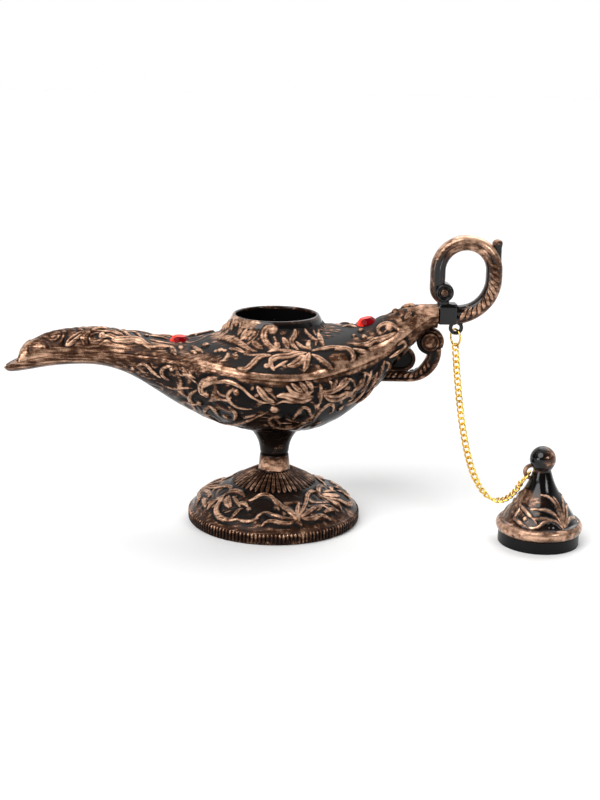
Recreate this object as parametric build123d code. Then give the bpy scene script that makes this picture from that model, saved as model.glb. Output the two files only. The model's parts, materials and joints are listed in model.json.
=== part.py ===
from build123d import *
import math
import os

# Genie oil lamp in moulded plastic with its lid standing beside it on a curb chain.
# Millimetres, +Z up. The origin is the centre of the foot on the table, the spout points
# along -X, the handle along +X, and -Y is the side that faces the viewer.

# Foot
FOOT_RADIUS = 42.0
FOOT_RIM_HEIGHT = 5.6
REED_COUNT = 140
REED_DEPTH = 0.7
FOOT_BEAD_RADIUS = 33.5
FOOT_BEAD_HEIGHT = 12.0
FOOT_WAIST_RADIUS = 21.0
FOOT_WAIST_HEIGHT = 18.6
COLLAR_BASE_RADIUS = 7.7
COLLAR_BASE_HEIGHT = 25.4
COLLAR_TOP_RADIUS = 6.9
FOOT_BULGE = 0.6
FOOT_WALL = 2.6

RIB_COUNT = 44
RIB_RADIUS = 0.7
RIB_INSET = 0.6

# Cast ornament. Each row is a width and three points of a rib on the surface. On the foot and
# on the mouth's flank a point is how far it is along the profile and its angle from the front,
# on the deck it is a station along X and a share of the half width there.
ORNAMENT_SINK = 0.08
FOOT_TURNS = 3
FOOT_ORNAMENT = (
    (2.2, (1.52, -60.7), (1.16, -53.8), (0.72, -47.9)),
    (2.2, (0.57, -45.1), (0.41, -36.1), (0.55, -27.1)),
    (2.7, (1.65, -59.2), (1.83, -48.1), (1.75, -35.1)),
    (1.8, (1.55, -53.9), (1.36, -46.0), (1.15, -39.2)),
    (1.6, (0.77, -12.4), (1.07, -7.5), (1.01, -0.3)),
    (2.0, (1.63, -25.2), (1.86, -17.4), (1.92, -6.1)),
    (2.0, (1.86, -2.2), (1.58, 3.3), (1.26, 5.5)),
    (2.0, (0.54, 6.0), (0.51, 11.7), (0.64, 17.1)),
    (2.0, (0.75, 18.5), (1.13, 15.2), (1.44, 11.7)),
    (2.0, (0.93, 22.1), (1.24, 29.1), (1.54, 37.0)),
    (2.1, (0.82, 25.3), (0.96, 29.1), (1.07, 35.1)),
    (2.2, (0.65, 26.4), (0.64, 33.8), (0.45, 43.0)),
)
MOUTH_ORNAMENT = (
    (2.2, (0.61, -55.5), (0.62, -48.0), (0.65, -39.1)),
    (2.0, (0.54, -36.5), (0.41, -35.3), (0.28, -34.9)),
    (2.4, (0.57, -22.5), (0.66, -17.7), (0.73, -12.4)),
    (2.2, (0.43, -11.3), (0.52, -9.5), (0.71, -1.4)),
    (2.2, (0.46, 9.1), (0.58, 11.6), (0.66, 13.5)),
    (1.8, (0.24, 24.1), (0.37, 21.9), (0.48, 17.9)),
)
DECK_ORNAMENT = (
    (2.6, (-98.6, -0.91), (-95.3, -0.76), (-91.4, -0.57)),
    (2.0, (-81.0, -0.71), (-75.4, -0.73), (-69.5, -0.64)),
    (2.0, (-67.4, -0.59), (-62.2, -0.68), (-57.3, -0.79)),
    (2.4, (-43.4, -0.60), (-37.6, -0.56), (-31.8, -0.52)),
    (1.8, (-20.4, -0.69), (-17.3, -0.73), (-14.3, -0.77)),
    (1.6, (17.7, -0.76), (24.2, -0.75), (32.1, -0.77)),
    (2.5, (12.5, -0.80), (8.3, -0.81), (4.0, -0.83)),
    (2.5, (2.3, -0.83), (-1.3, -0.88), (-0.3, -0.95)),
    (2.9, (13.0, -0.84), (10.5, -0.91), (6.7, -0.93)),
    (1.8, (17.6, -0.83), (22.1, -0.91), (26.2, -0.97)),
    (2.1, (-2.5, -0.81), (-6.1, -0.84), (-8.7, -0.90)),
    (2.0, (20.1, -0.42), (21.0, -0.55), (22.2, -0.68)),
    (1.6, (36.6, -0.75), (41.3, -0.82), (45.4, -0.83)),
    (1.6, (46.9, -0.83), (51.3, -0.87), (55.7, -0.91)),
)

# Joint between the foot and the stem of the body
JOINT_HEIGHT = 33.3
SPIGOT_RADIUS = 4.6
SPIGOT_LENGTH = 5.8
SPIGOT_CLEARANCE = 0.12
SPIGOT_END_GAP = 0.2
JOINT_FLOOR = 5.2
SCREW_RADIUS = 1.9
SCREW_CLEARANCE = 0.1
SCREW_GRIP = 11.0
SCREW_HEAD_RADIUS = 3.6
SCREW_HEAD_HEIGHT = 2.4
SCREW_HEAD_CHAMFER = 0.8
WASHER_RADIUS = 5.0
WASHER_THICKNESS = 1.0

# Body shells
WALL = 2.0
SEAM_GAP = 0.1
BODY_HALF_WIDTH = 38.0
SPOUT_HALF_WIDTH = 6.9
TAIL_HALF_WIDTH = 5.4
FRONT_SWELL = 50.0
REAR_SWELL = 47.0
FRONT_POWER = 2.0
REAR_POWER = 2.5
STEM_HEIGHT = 11.8
STEM_WAIST = 8.3
STEM_WAIST_RISE = 6.3
STEM_FLARE = 15.0
STEM_SINK = 2.9
TAIL_COLLAR = 3.0
TAIL_COLLAR_RISE = 0.3
SOLID_STATIONS = 2

# Lines of the body. Each row is a station along X, then the keel, the seam and the deck,
# measured from the height of the seam beside the mouth. The tongue has no deck.
TONGUE_LINES = (
    (-130.3, -4.9, -3.6),
    (-128.9, -5.9, -2.9),
    (-126.4, -6.3, -1.7),
)
BODY_LINES = (
    (-123.4, -6.0, -0.6, 1.4),
    (-121.4, -5.7, -0.1, 5.4),
    (-118.0, -5.1, 0.6, 8.7),
    (-110.0, -3.6, 2.3, 12.5),
    (-97.0, -2.2, 4.1, 15.3),
    (-83.0, -2.6, 5.2, 15.9),
    (-70.0, -6.6, 5.4, 13.8),
    (-58.0, -13.5, 5.3, 11.5),
    (-46.0, -20.9, 4.8, 10.0),
    (-27.0, -28.8, 2.7, 13.6),
    (0.0, -33.0, 0.0, 17.0),
    (25.0, -28.7, 1.2, 18.2),
    (41.0, -18.4, 4.5, 19.4),
    (50.0, -8.7, 7.9, 22.8),
    (58.0, 1.4, 13.3, 26.8),
    (66.0, 10.4, 19.0, 29.2),
    (74.0, 18.7, 24.5, 29.7),
)
TONGUE_TIP_HALF_WIDTH = 1.8
TONGUE_LENGTH = 7.0

# Mouth
MOUTH_RADIUS = 19.3
MOUTH_RIM = 1.1
MOUTH_RISE = 7.0
MOUTH_SKIRT = 13.0
MOUTH_FLARE_RADIUS = 31.0
MOUTH_FLARE_DROP = 15.4

# Spout opening
SPOUT_OPENING_HALF_WIDTH = 3.9
SPOUT_OPENING_RISE = 4.6
SPOUT_OPENING_DEPTH = 9.0

# Stones
GEM_RADIUS = 5.0
GEM_TABLE_RADIUS = 2.7
GEM_GIRDLE = 0.9
GEM_CROWN = 2.2
GEM_SINK = 0.7
GEM_CLEARANCE = 0.05
GEM_SIDES = 8
FRONT_GEM_X = -46.0
FRONT_GEM_PITCH = 3.0
REAR_GEM_X = 43.5
REAR_GEM_PITCH = -12.0

# Ring handle
HANDLE_RISE = 0.4
SHANK_HEIGHT = 9.2
SHANK_WIDTH = 8.0
SHANK_LENGTH = 8.5
SHANK_CHAMFER = 1.2
TENON_HEIGHT = 6.0
TENON_WIDTH = 5.0
TENON_LENGTH = 8.0
TENON_CLEARANCE = 0.1
LOOP_THICKNESS = 7.4
LOOP_WIDTH = 8.0
LOOP_RISE_RADIUS = 17.5
LOOP_SIDE = 3.6
LOOP_TOP_RADIUS = 13.3
LOOP_INSIDE = 8.4
LOOP_END_RADIUS = 4.4
VOLUTE_RADIUS = 4.2
VOLUTE_WIDTH = 9.0
SPUR_ANGLE = 45.0
SPUR_HEIGHT = 4.8
SPUR_BASE = 9.0
SPUR_WIDTH = 5.0

# Chain lug under the handle and jump rings
LUG_RADIUS = 3.1
LUG_HOLE_RADIUS = 1.7
LUG_THICKNESS = 1.8
LUG_OFFSET = 0.6
LUG_DROP = 6.4
RING_RADIUS = 4.0
RING_WIRE = 0.52
RING_SLACK = 0.43
RING_TURN = 27.0

# Rear scroll and the curl inside it
SCROLL_THICKNESS = 5.0
SCROLL_WIDTH = 7.0
SCROLL_ROOT_X = 40.0
SCROLL_ARM_DROP = 5.8
SCROLL_BEND_X = 64.5
SCROLL_BEND_RADIUS = 12.6
SCROLL_VOLUTE_RADIUS = 6.8
SCROLL_VOLUTE_X = 73.8
SCROLL_VOLUTE_RISE = 17.6
SCROLL_VOLUTE_WIDTH = 8.0
SCROLL_BOSS_RADIUS = 3.4
SCROLL_BOSS_RISE = 1.2
CURL_X = 61.2
CURL_RADIUS = 6.2
CURL_BAND = 2.2
CURL_WIDTH = 5.0
CURL_WEB = 1.6
CURL_REACH = 9.0

# Curb chain
LINK_COUNT = 36
LINKS_PER_PIECE = 4
LINK_WIRE = 0.4
LINK_PITCH = 2.78
LINK_HALF_WIDTH = 1.3
LINK_PLAY = 0.12
LINK_TURN = 45.0

# Lid, standing on the table at the end of its chain
LID_X = 126.2
LID_Y = -29.0
LID_CLEARANCE = 0.4
PLUG_DEPTH = 5.5
PLUG_WALL = 3.4
PLUG_TENON = 2.8
PLUG_TENON_STEP = 1.7
PLUG_CLEARANCE = 0.05
LID_BEAD_RADIUS = 20.2
LID_BEAD_TOP = 11.4
LID_CONE_BASE = 17.3
LID_CONE_TOP = 8.0
LID_NECK_RADIUS = 4.2
LID_NECK_HEIGHT = 35.0
LID_NECK_LENGTH = 9.5
LID_BALL_RADIUS = 6.05
LID_BALL_RISE = 5.6
LID_WALL = 2.4
EYE_RADIUS = 3.0
EYE_BAR = 0.8
EYE_OFFSET = 0.8
EYE_DROP = 0.7
LID_RING_OFFSET = 0.7
LID_RING_DROP = 0.5
LID_RING_LEAN = (-4.0, 2.8, -6.6)
LID_RING_TURN = 14.0

# Search for the curve of the hanging chain
SEARCH_SPREAD = 100.0
SEARCH_STEPS = 100

os.makedirs("parts", exist_ok=True)


def half_width(x):
    """Half width of the body at a station, a bell that swells from spout and tail to the mouth."""
    if x < 0:
        end, swell, power = SPOUT_HALF_WIDTH, FRONT_SWELL, FRONT_POWER
    else:
        end, swell, power = TAIL_HALF_WIDTH, REAR_SWELL, REAR_POWER
    return end + (BODY_HALF_WIDTH - end) * math.exp(-((abs(x) / swell) ** power))


def tongue_half_width(x):
    """Half width of the spout's tongue, rounded off to its tip."""
    root = BODY_LINES[0][0]
    reach = min(1.0, (root - x) / TONGUE_LENGTH)
    rounding = math.sqrt(1.0 - reach**2)
    return TONGUE_TIP_HALF_WIDTH + (half_width(root) - TONGUE_TIP_HALF_WIDTH) * rounding


def half_section(x, width, seam, edge, overrun):
    """Half ellipse across the body at a station, from the seam down to the keel or up to the deck.

    An overrun starts the ellipse past the seam, for the hollow that cuts a shell.
    """
    below = edge < seam
    base = seam + overrun if below else seam + SEAM_GAP - overrun
    plane = Plane(origin=(x, 0, SEAM_HEIGHT + base), x_dir=(0, 1, 0), z_dir=(1, 0, 0))
    start = 180 if below else 0
    arc = EllipticalCenterArc((0, 0), width, abs(edge - base), start_angle=start, arc_size=180)
    return plane * make_face([arc, Line(arc @ 1, arc @ 0)])


def lower_loft(wall):
    """Lower half of the body, or with a wall the hollow inside it."""
    rows = [(x, tongue_half_width(x), keel, seam) for x, keel, seam in TONGUE_LINES]
    rows += [(x, half_width(x), keel, seam) for x, keel, seam, deck in BODY_LINES]
    if wall:
        rows = rows[SOLID_STATIONS:]
    return loft([half_section(x, width - wall, seam, keel + wall, wall) for x, width, keel, seam in rows])


def upper_loft(wall):
    """Upper half of the body, or with a wall the hollow inside it.

    The hollow is ruled from station to station, which keeps its floor below the seam.
    """
    rows = [(x, half_width(x), deck, seam) for x, keel, seam, deck in BODY_LINES]
    if wall:
        rows = rows[SOLID_STATIONS:]
    sections = [half_section(x, width - wall, seam, deck - wall, wall) for x, width, deck, seam in rows]
    return loft(sections, ruled=wall > 0)


def turned(profile):
    """Solid of revolution about Z from a closed chain of edges in the XZ plane."""
    return revolve(make_face(profile), axis=Axis.Z)


def upright(x, z, y=0.0):
    """Plane facing the viewer, with its own X along +X and its own Y along +Z."""
    return Plane(origin=(x, y, z), x_dir=(1, 0, 0), z_dir=(0, -1, 0))


def disc(x, z, radius, width):
    """Round boss across the lamp, centred on its long plane."""
    return extrude(upright(x, z) * Circle(radius), amount=width / 2, both=True)


def point(x, z):
    """Point on the lamp's long plane."""
    return Vector(x, 0, z)


def deck_height(x):
    """Height of the deck's ridge between two stations of the body."""
    for (x_low, *_, deck_low), (x_high, *_, deck_high) in zip(BODY_LINES, BODY_LINES[1:]):
        if x_low <= x <= x_high:
            return SEAM_HEIGHT + deck_low + (deck_high - deck_low) * (x - x_low) / (x_high - x_low)
    raise ValueError("the station is off the body")


def across_x(start, width, height):
    """Ellipse that faces along the lamp at a point of its long plane."""
    return Plane(origin=start, x_dir=(0, 1, 0), z_dir=(1, 0, 0)) * Ellipse(width / 2, height / 2)


def around(place, angle):
    """Point of the lamp's long plane turned about Z to an angle in degrees from the front."""
    turn = math.radians(angle)
    return Vector(place.X * math.sin(turn), -place.X * math.cos(turn), place.Z)


def line_height(x, column):
    """Height of one of the body's lines at a station, by a cubic through the four nearest rows."""
    rows = sorted(BODY_LINES, key=lambda row: abs(row[0] - x))[:4]
    height = SEAM_HEIGHT
    for row in rows:
        share = row[column]
        for other in rows:
            if other is not row:
                share *= (x - other[0]) / (row[0] - other[0])
        height += share
    return height


def deck_point(x, across):
    """Point of the deck at a station and a share of the half width."""
    seam, deck = line_height(x, 2), line_height(x, 3)
    return Vector(x, across * half_width(x), seam + (deck - seam) * math.sqrt(1 - across**2))


def cast_rib(width, places):
    """Half-sunk round rib along an arc through three points of a surface."""
    path = ThreePointArc(*[place - Vector(0, 0, ORNAMENT_SINK * width) for place in places])
    return sweep(Plane(origin=path @ 0, z_dir=path % 0) * Circle(width / 2), path=path)


def make_foot():
    """Hollow foot: reeded rim, shoulder, fluted cone and the collar that takes the stem's spigot."""
    corners = []
    for index in range(2 * REED_COUNT):
        angle = math.pi * index / REED_COUNT
        radius = FOOT_RADIUS - REED_DEPTH * (index % 2)
        corners.append((radius * math.cos(angle), radius * math.sin(angle)))
    rim = extrude(make_face(Polyline(*corners, close=True)), amount=FOOT_RIM_HEIGHT)
    shoulder = point(FOOT_RADIUS - 2 * REED_DEPTH, FOOT_RIM_HEIGHT)
    bead = point(FOOT_BEAD_RADIUS, FOOT_BEAD_HEIGHT)
    waist = point(FOOT_WAIST_RADIUS, FOOT_WAIST_HEIGHT)
    base = point(COLLAR_BASE_RADIUS, COLLAR_BASE_HEIGHT)
    top = point(COLLAR_TOP_RADIUS, JOINT_HEIGHT)
    drawn = [
        ThreePointArc(shoulder, (shoulder + bead) / 2 + point(FOOT_BULGE, FOOT_BULGE), bead),
        ThreePointArc(bead, (bead + waist) / 2 - point(FOOT_BULGE, FOOT_BULGE), waist),
    ]
    dome = turned([
        Line(point(0, FOOT_RIM_HEIGHT), shoulder),
        *drawn,
        ThreePointArc(waist, (waist + base) / 2 - point(FOOT_BULGE, FOOT_BULGE) / 2, base),
        Line(base, top),
        Line(top, point(0, JOINT_HEIGHT)),
        Line(point(0, JOINT_HEIGHT), point(0, FOOT_RIM_HEIGHT)),
    ])
    hollow = turned([
        Polyline(
            point(0, 0),
            point(FOOT_RADIUS - REED_DEPTH - FOOT_WALL, 0),
            point(FOOT_RADIUS - REED_DEPTH - FOOT_WALL, FOOT_RIM_HEIGHT - FOOT_WALL / 2),
            point(FOOT_BEAD_RADIUS - FOOT_WALL, FOOT_BEAD_HEIGHT - FOOT_WALL),
            point(FOOT_WAIST_RADIUS - FOOT_WALL, FOOT_WAIST_HEIGHT - FOOT_WALL),
            point(WASHER_RADIUS + FOOT_WALL / 2, FLOOR_UNDERSIDE),
            point(0, FLOOR_UNDERSIDE),
            point(0, 0),
        )
    ])
    socket = Pos(0, 0, SPIGOT_END - SPIGOT_END_GAP) * Cylinder(
        SPIGOT_RADIUS + SPIGOT_CLEARANCE, SPIGOT_LENGTH + SPIGOT_END_GAP, align=UP)
    way = Pos(0, 0, FLOOR_UNDERSIDE) * Cylinder(SCREW_RADIUS + SCREW_CLEARANCE, JOINT_FLOOR, align=UP)
    ribs = []
    for width, *places in FOOT_ORNAMENT:
        rib = cast_rib(width, [around(drawn[int(run)] @ (run % 1), angle) for run, angle in places])
        ribs += [Rot(0, 0, 360 * turn / FOOT_TURNS) * rib for turn in range(FOOT_TURNS)]
    flank = base - waist
    slope = Plane(origin=waist + flank.normalized() * RIB_INSET, z_dir=flank)
    flute = slope * Cylinder(RIB_RADIUS, flank.length - 2 * RIB_INSET, align=UP)
    ribs += [Rot(0, 0, 360 * turn / RIB_COUNT) * flute for turn in range(RIB_COUNT)]
    return rim + (dome + ribs) - hollow - socket - way


def make_foot_washer():
    """Washer under the head of the foot's screw."""
    ring = Circle(WASHER_RADIUS) - Circle(SCREW_RADIUS + SCREW_CLEARANCE)
    return Pos(0, 0, FLOOR_UNDERSIDE - WASHER_THICKNESS) * extrude(ring, amount=WASHER_THICKNESS)


def make_foot_screw():
    """Screw up through the foot into the stem."""
    under = FLOOR_UNDERSIDE - WASHER_THICKNESS
    head = Pos(0, 0, under - SCREW_HEAD_HEIGHT) * Cylinder(SCREW_HEAD_RADIUS, SCREW_HEAD_HEIGHT, align=UP)
    shank = Pos(0, 0, under) * Cylinder(SCREW_RADIUS, SPIGOT_END + SCREW_GRIP - under, align=UP)
    head = chamfer(head.edges().group_by(Axis.Z)[0], SCREW_HEAD_CHAMFER)
    return head + shank


def tail_block():
    """Closed section of the tail, run on past the upper shell as a collar round the handle's tenon."""
    x, keel, seam, deck = BODY_LINES[-1]
    middle = point(x, SEAM_HEIGHT + (keel + deck) / 2)
    width = 2 * (half_width(x) + TAIL_COLLAR_RISE)
    height = deck - keel + 2 * TAIL_COLLAR_RISE
    return extrude(across_x(middle, width, height), amount=TAIL_COLLAR)


def tenon(clearance):
    """Tenon of the handle, or with a clearance the hole that takes it."""
    length = TENON_LENGTH + clearance
    width = TENON_WIDTH + 2 * clearance
    height = TENON_HEIGHT + 2 * clearance
    return Pos(TAIL_X - length / 2, 0, HANDLE_HEIGHT) * Box(length, width, height)


def make_lower_shell():
    """Lower half of the body with its stem, its tongue and the tail collar."""
    flare_height = JOINT_HEIGHT + STEM_HEIGHT + STEM_SINK
    foot_edge = point(COLLAR_TOP_RADIUS, JOINT_HEIGHT)
    flare_edge = point(STEM_FLARE, flare_height)
    stem = turned([
        Line(point(0, JOINT_HEIGHT), foot_edge),
        ThreePointArc(foot_edge, point(STEM_WAIST, JOINT_HEIGHT + STEM_WAIST_RISE), flare_edge),
        Line(flare_edge, point(0, flare_height)),
        Line(point(0, flare_height), point(0, JOINT_HEIGHT)),
    ])
    spigot = Pos(0, 0, SPIGOT_END) * Cylinder(SPIGOT_RADIUS, SPIGOT_LENGTH + WALL, align=UP)
    pilot = Pos(0, 0, SPIGOT_END) * Cylinder(SCREW_RADIUS + SCREW_CLEARANCE, SCREW_GRIP + WALL, align=UP)
    shell = lower_loft(0) + stem + spigot + tail_block()
    return shell - lower_loft(WALL) - pilot - tenon(TENON_CLEARANCE)


def gem_seat(x, pitch):
    """Place of a stone on the deck's ridge, turned to the slope there."""
    return Pos(x, 0, deck_height(x) - GEM_SINK) * Rot(0, pitch, 0)


def make_upper_shell():
    """Upper half of the body: deck, mouth collar and spout hood."""
    rim = point(MOUTH_RADIUS + MOUTH_RIM, MOUTH_HEIGHT)
    flare = point(MOUTH_FLARE_RADIUS, MOUTH_HEIGHT - MOUTH_FLARE_DROP)
    hidden = point(MOUTH_FLARE_RADIUS, MOUTH_HEIGHT - MOUTH_FLARE_DROP - WALL)
    inner_foot = point(0, hidden.Z)
    flank = ThreePointArc(rim, (rim + flare) / 2 - point(MOUTH_RIM, MOUTH_RIM) / 2, flare)
    collar = turned([
        flank,
        Line(flare, hidden),
        Line(hidden, inner_foot),
        Line(inner_foot, point(0, MOUTH_HEIGHT)),
        Line(point(0, MOUTH_HEIGHT), rim),
    ])
    skirt_base = MOUTH_HEIGHT - MOUTH_SKIRT
    skirt = Pos(0, 0, skirt_base) * Cylinder(MOUTH_RADIUS + WALL, MOUTH_SKIRT - WALL, align=UP)
    bore = Pos(0, 0, skirt_base - WALL) * Cylinder(MOUTH_RADIUS, MOUTH_SKIRT + 2 * WALL, align=UP)
    nose, keel, seam, deck = BODY_LINES[0]
    sill = point(nose, SEAM_HEIGHT + seam)
    opening = across_x(sill, 2 * SPOUT_OPENING_HALF_WIDTH, 2 * SPOUT_OPENING_RISE)
    arch = extrude(opening, amount=SPOUT_OPENING_DEPTH, both=True)
    ribs = [cast_rib(width, [deck_point(*place) for place in places]) for width, *places in DECK_ORNAMENT]
    for width, *places in MOUTH_ORNAMENT:
        ribs.append(cast_rib(width, [around(flank @ run, angle) for run, angle in places]))
    ribs += [mirror(rib, about=Plane.XZ) for rib in ribs]
    shell = upper_loft(0) + collar + ribs - upper_loft(WALL)
    shell = shell + skirt - bore - arch - tenon(TENON_CLEARANCE)
    for x, pitch in ((FRONT_GEM_X, FRONT_GEM_PITCH), (REAR_GEM_X, REAR_GEM_PITCH)):
        pocket = Cylinder(GEM_RADIUS + GEM_CLEARANCE, GEM_GIRDLE + GEM_CROWN, align=UP)
        shell -= gem_seat(x, pitch) * pocket
    return shell


def make_gem(x, pitch):
    """Flat-backed stone with an eight-sided crown."""
    outline = RegularPolygon(GEM_RADIUS, GEM_SIDES)
    table = Pos(0, 0, GEM_GIRDLE + GEM_CROWN) * RegularPolygon(GEM_TABLE_RADIUS, GEM_SIDES)
    girdle = extrude(outline, amount=GEM_GIRDLE)
    crown = loft([Pos(0, 0, GEM_GIRDLE) * outline, table], ruled=True)
    return gem_seat(x, pitch) * (girdle + crown)


def make_ring_handle():
    """Finger ring on its shank, with the volute, the thumb spur and the lug for the chain."""
    start = point(TAIL_X + SHANK_CHAMFER, HANDLE_HEIGHT)
    bend = point(LOOP_BEND_X, HANDLE_HEIGHT)
    side = bend + point(LOOP_RISE_RADIUS, LOOP_RISE_RADIUS)
    top_start = side + point(0, LOOP_SIDE)
    top_centre = top_start - point(LOOP_TOP_RADIUS, 0)
    top_end = top_centre - point(LOOP_TOP_RADIUS, 0)
    inside = top_end - point(0, LOOP_INSIDE)
    end = inside + point(LOOP_END_RADIUS, -LOOP_END_RADIUS)
    path = Wire([
        Line(start, bend),
        TangentArc(bend, side, tangent=(1, 0, 0)),
        Line(side, top_start),
        TangentArc(top_start, top_end, tangent=(0, 0, 1)),
        Line(top_end, inside),
        TangentArc(inside, end, tangent=(0, 0, -1)),
    ])
    loop = sweep(across_x(start, LOOP_WIDTH, LOOP_THICKNESS), path=path)
    shank = Pos(TAIL_X, 0, HANDLE_HEIGHT) * Box(
        SHANK_LENGTH, SHANK_WIDTH, SHANK_HEIGHT, align=(Align.MIN, Align.CENTER, Align.CENTER))
    shank = chamfer(shank.edges().filter_by(Axis.X), SHANK_CHAMFER)
    volute_z = (inside + end).Z / 2
    volute = disc(end.X, volute_z, VOLUTE_RADIUS, VOLUTE_WIDTH)
    spur_place = upright(top_centre.X, top_centre.Z) * Rot(0, 0, SPUR_ANGLE)
    outer = LOOP_TOP_RADIUS + LOOP_THICKNESS / 2
    tip = (outer + SPUR_HEIGHT, 0)
    foot_low = (LOOP_TOP_RADIUS, -SPUR_BASE / 2)
    foot_high = (LOOP_TOP_RADIUS, SPUR_BASE / 2)
    leaf = make_face(Polyline(foot_low, tip, foot_high, close=True))
    spur = spur_place * extrude(leaf, amount=SPUR_WIDTH / 2, both=True)
    lug_arm = Pos(LUG_X, 0, LUG_HEIGHT) * Box(
        2 * LUG_RADIUS, LUG_THICKNESS, HANDLE_HEIGHT - LUG_HEIGHT, align=UP)
    lug = disc(LUG_X, LUG_HEIGHT, LUG_RADIUS, LUG_THICKNESS) + lug_arm
    hole = disc(LUG_X, LUG_HEIGHT, LUG_HOLE_RADIUS, LUG_THICKNESS)
    return loop + shank + volute + spur + (lug - hole) + tenon(0)


def make_rear_scroll(hull):
    """C-scroll that leaves the hull below the tail and rolls up into a volute under it."""
    root = point(SCROLL_ROOT_X, SCROLL_ARM_HEIGHT)
    bend = point(SCROLL_BEND_X, SCROLL_ARM_HEIGHT)
    end = bend + point(SCROLL_BEND_RADIUS, SCROLL_BEND_RADIUS)
    path = Wire([Line(root, bend), TangentArc(bend, end, tangent=(1, 0, 0))])
    arm = sweep(across_x(root, SCROLL_WIDTH, SCROLL_THICKNESS), path=path)
    volute = disc(SCROLL_VOLUTE_X, SCROLL_VOLUTE_HEIGHT, SCROLL_VOLUTE_RADIUS, SCROLL_VOLUTE_WIDTH)
    boss = disc(SCROLL_VOLUTE_X, SCROLL_VOLUTE_HEIGHT, SCROLL_BOSS_RADIUS,
                SCROLL_VOLUTE_WIDTH + 2 * SCROLL_BOSS_RISE)
    return arm + volute + boss - hull


def make_inner_curl(hull, scroll):
    """Small dished curl that stands on the scroll's arm and leans on the hull."""
    low = SCROLL_ARM_HEIGHT + SCROLL_THICKNESS / 2
    plane = upright(CURL_X, low + CURL_RADIUS)
    arm = Pos(-CURL_REACH / 2, 0) * Rectangle(CURL_REACH, 2 * CURL_RADIUS)
    outline = Circle(CURL_RADIUS) + arm
    inside = Circle(CURL_RADIUS - CURL_BAND) + Pos(-CURL_REACH / 2, 0) * Rectangle(
        CURL_REACH, 2 * (CURL_RADIUS - CURL_BAND))
    band = extrude(plane * (outline - inside), amount=CURL_WIDTH / 2, both=True)
    web = extrude(plane * outline, amount=CURL_WEB / 2, both=True)
    return band + web - hull - scroll


def jump_ring(centre, down, across):
    """Closed wire ring whose plane holds the two given directions."""
    return Plane(origin=centre, x_dir=down, z_dir=down.cross(across)) * Torus(RING_RADIUS, RING_WIRE)


def hanging_line(start, end, length):
    """Curve of a chain of a given length hung between two points: place and direction along it."""
    level = Vector(end.X - start.X, end.Y - start.Y, 0)
    span = level.length
    heading = level.normalized()
    drop = start.Z - end.Z
    low, high = span / SEARCH_SPREAD, span * SEARCH_SPREAD
    for _ in range(SEARCH_STEPS):
        scale = math.sqrt(low * high)
        slack = length**2 - drop**2 - (2 * scale * math.sinh(span / (2 * scale))) ** 2
        low, high = (low, scale) if slack > 0 else (scale, high)
    bottom = span / 2 + scale * math.atanh(drop / length)

    def place(distance):
        run = math.asinh(distance / scale - math.sinh(bottom / scale))
        rise = scale * (math.cosh(run) - math.cosh(bottom / scale))
        return start + heading * (bottom + scale * run) + Vector(0, 0, rise)

    return place, heading


def link():
    """One oval link of round wire, its length along X and its flat in the XY plane."""
    straight = LINK_PITCH + 2 * LINK_WIRE + LINK_PLAY - 2 * LINK_HALF_WIDTH
    bend = Plane.XZ * Pos(LINK_HALF_WIDTH, 0) * Circle(LINK_WIRE)
    end = Rot(0, 0, -90) * revolve(bend, axis=Axis.Z, revolution_arc=180)
    side = Rot(0, 90, 0) * Cylinder(LINK_WIRE, straight)
    return (
        Pos(straight / 2, 0, 0) * end
        + Pos(-straight / 2, 0, 0) * Rot(0, 0, 180) * end
        + Pos(0, LINK_HALF_WIDTH, 0) * side
        + Pos(0, -LINK_HALF_WIDTH, 0) * side
    )


def make_chain(place, heading):
    """Pieces of the chain, each a few links that turn to and fro about the chain's line."""
    normal = heading.cross(Vector(0, 0, 1))
    blank = link()
    pieces = []
    for first in range(0, LINK_COUNT, LINKS_PER_PIECE):
        links = []
        for index in range(first, first + LINKS_PER_PIECE):
            head = place(index * LINK_PITCH)
            tail = place((index + 1) * LINK_PITCH)
            seat = Plane(origin=(head + tail) / 2, x_dir=tail - head, z_dir=normal)
            turn = LINK_TURN if index % 2 else -LINK_TURN
            links.append(seat * Rot(turn, 0, 0) * blank)
        pieces.append(Compound(children=links))
    return pieces


def make_lid_plug():
    """Ring that drops into the mouth, with a tenon up into the cap."""
    inner = PLUG_RADIUS - PLUG_WALL
    step = PLUG_RADIUS - PLUG_TENON_STEP
    return LID_PLACE * turned([
        Polyline(
            point(inner, 0),
            point(PLUG_RADIUS, 0),
            point(PLUG_RADIUS, PLUG_DEPTH),
            point(step, PLUG_DEPTH),
            point(step, PLUG_DEPTH + PLUG_TENON),
            point(inner, PLUG_DEPTH + PLUG_TENON),
            point(inner, 0),
        )
    ])


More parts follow.
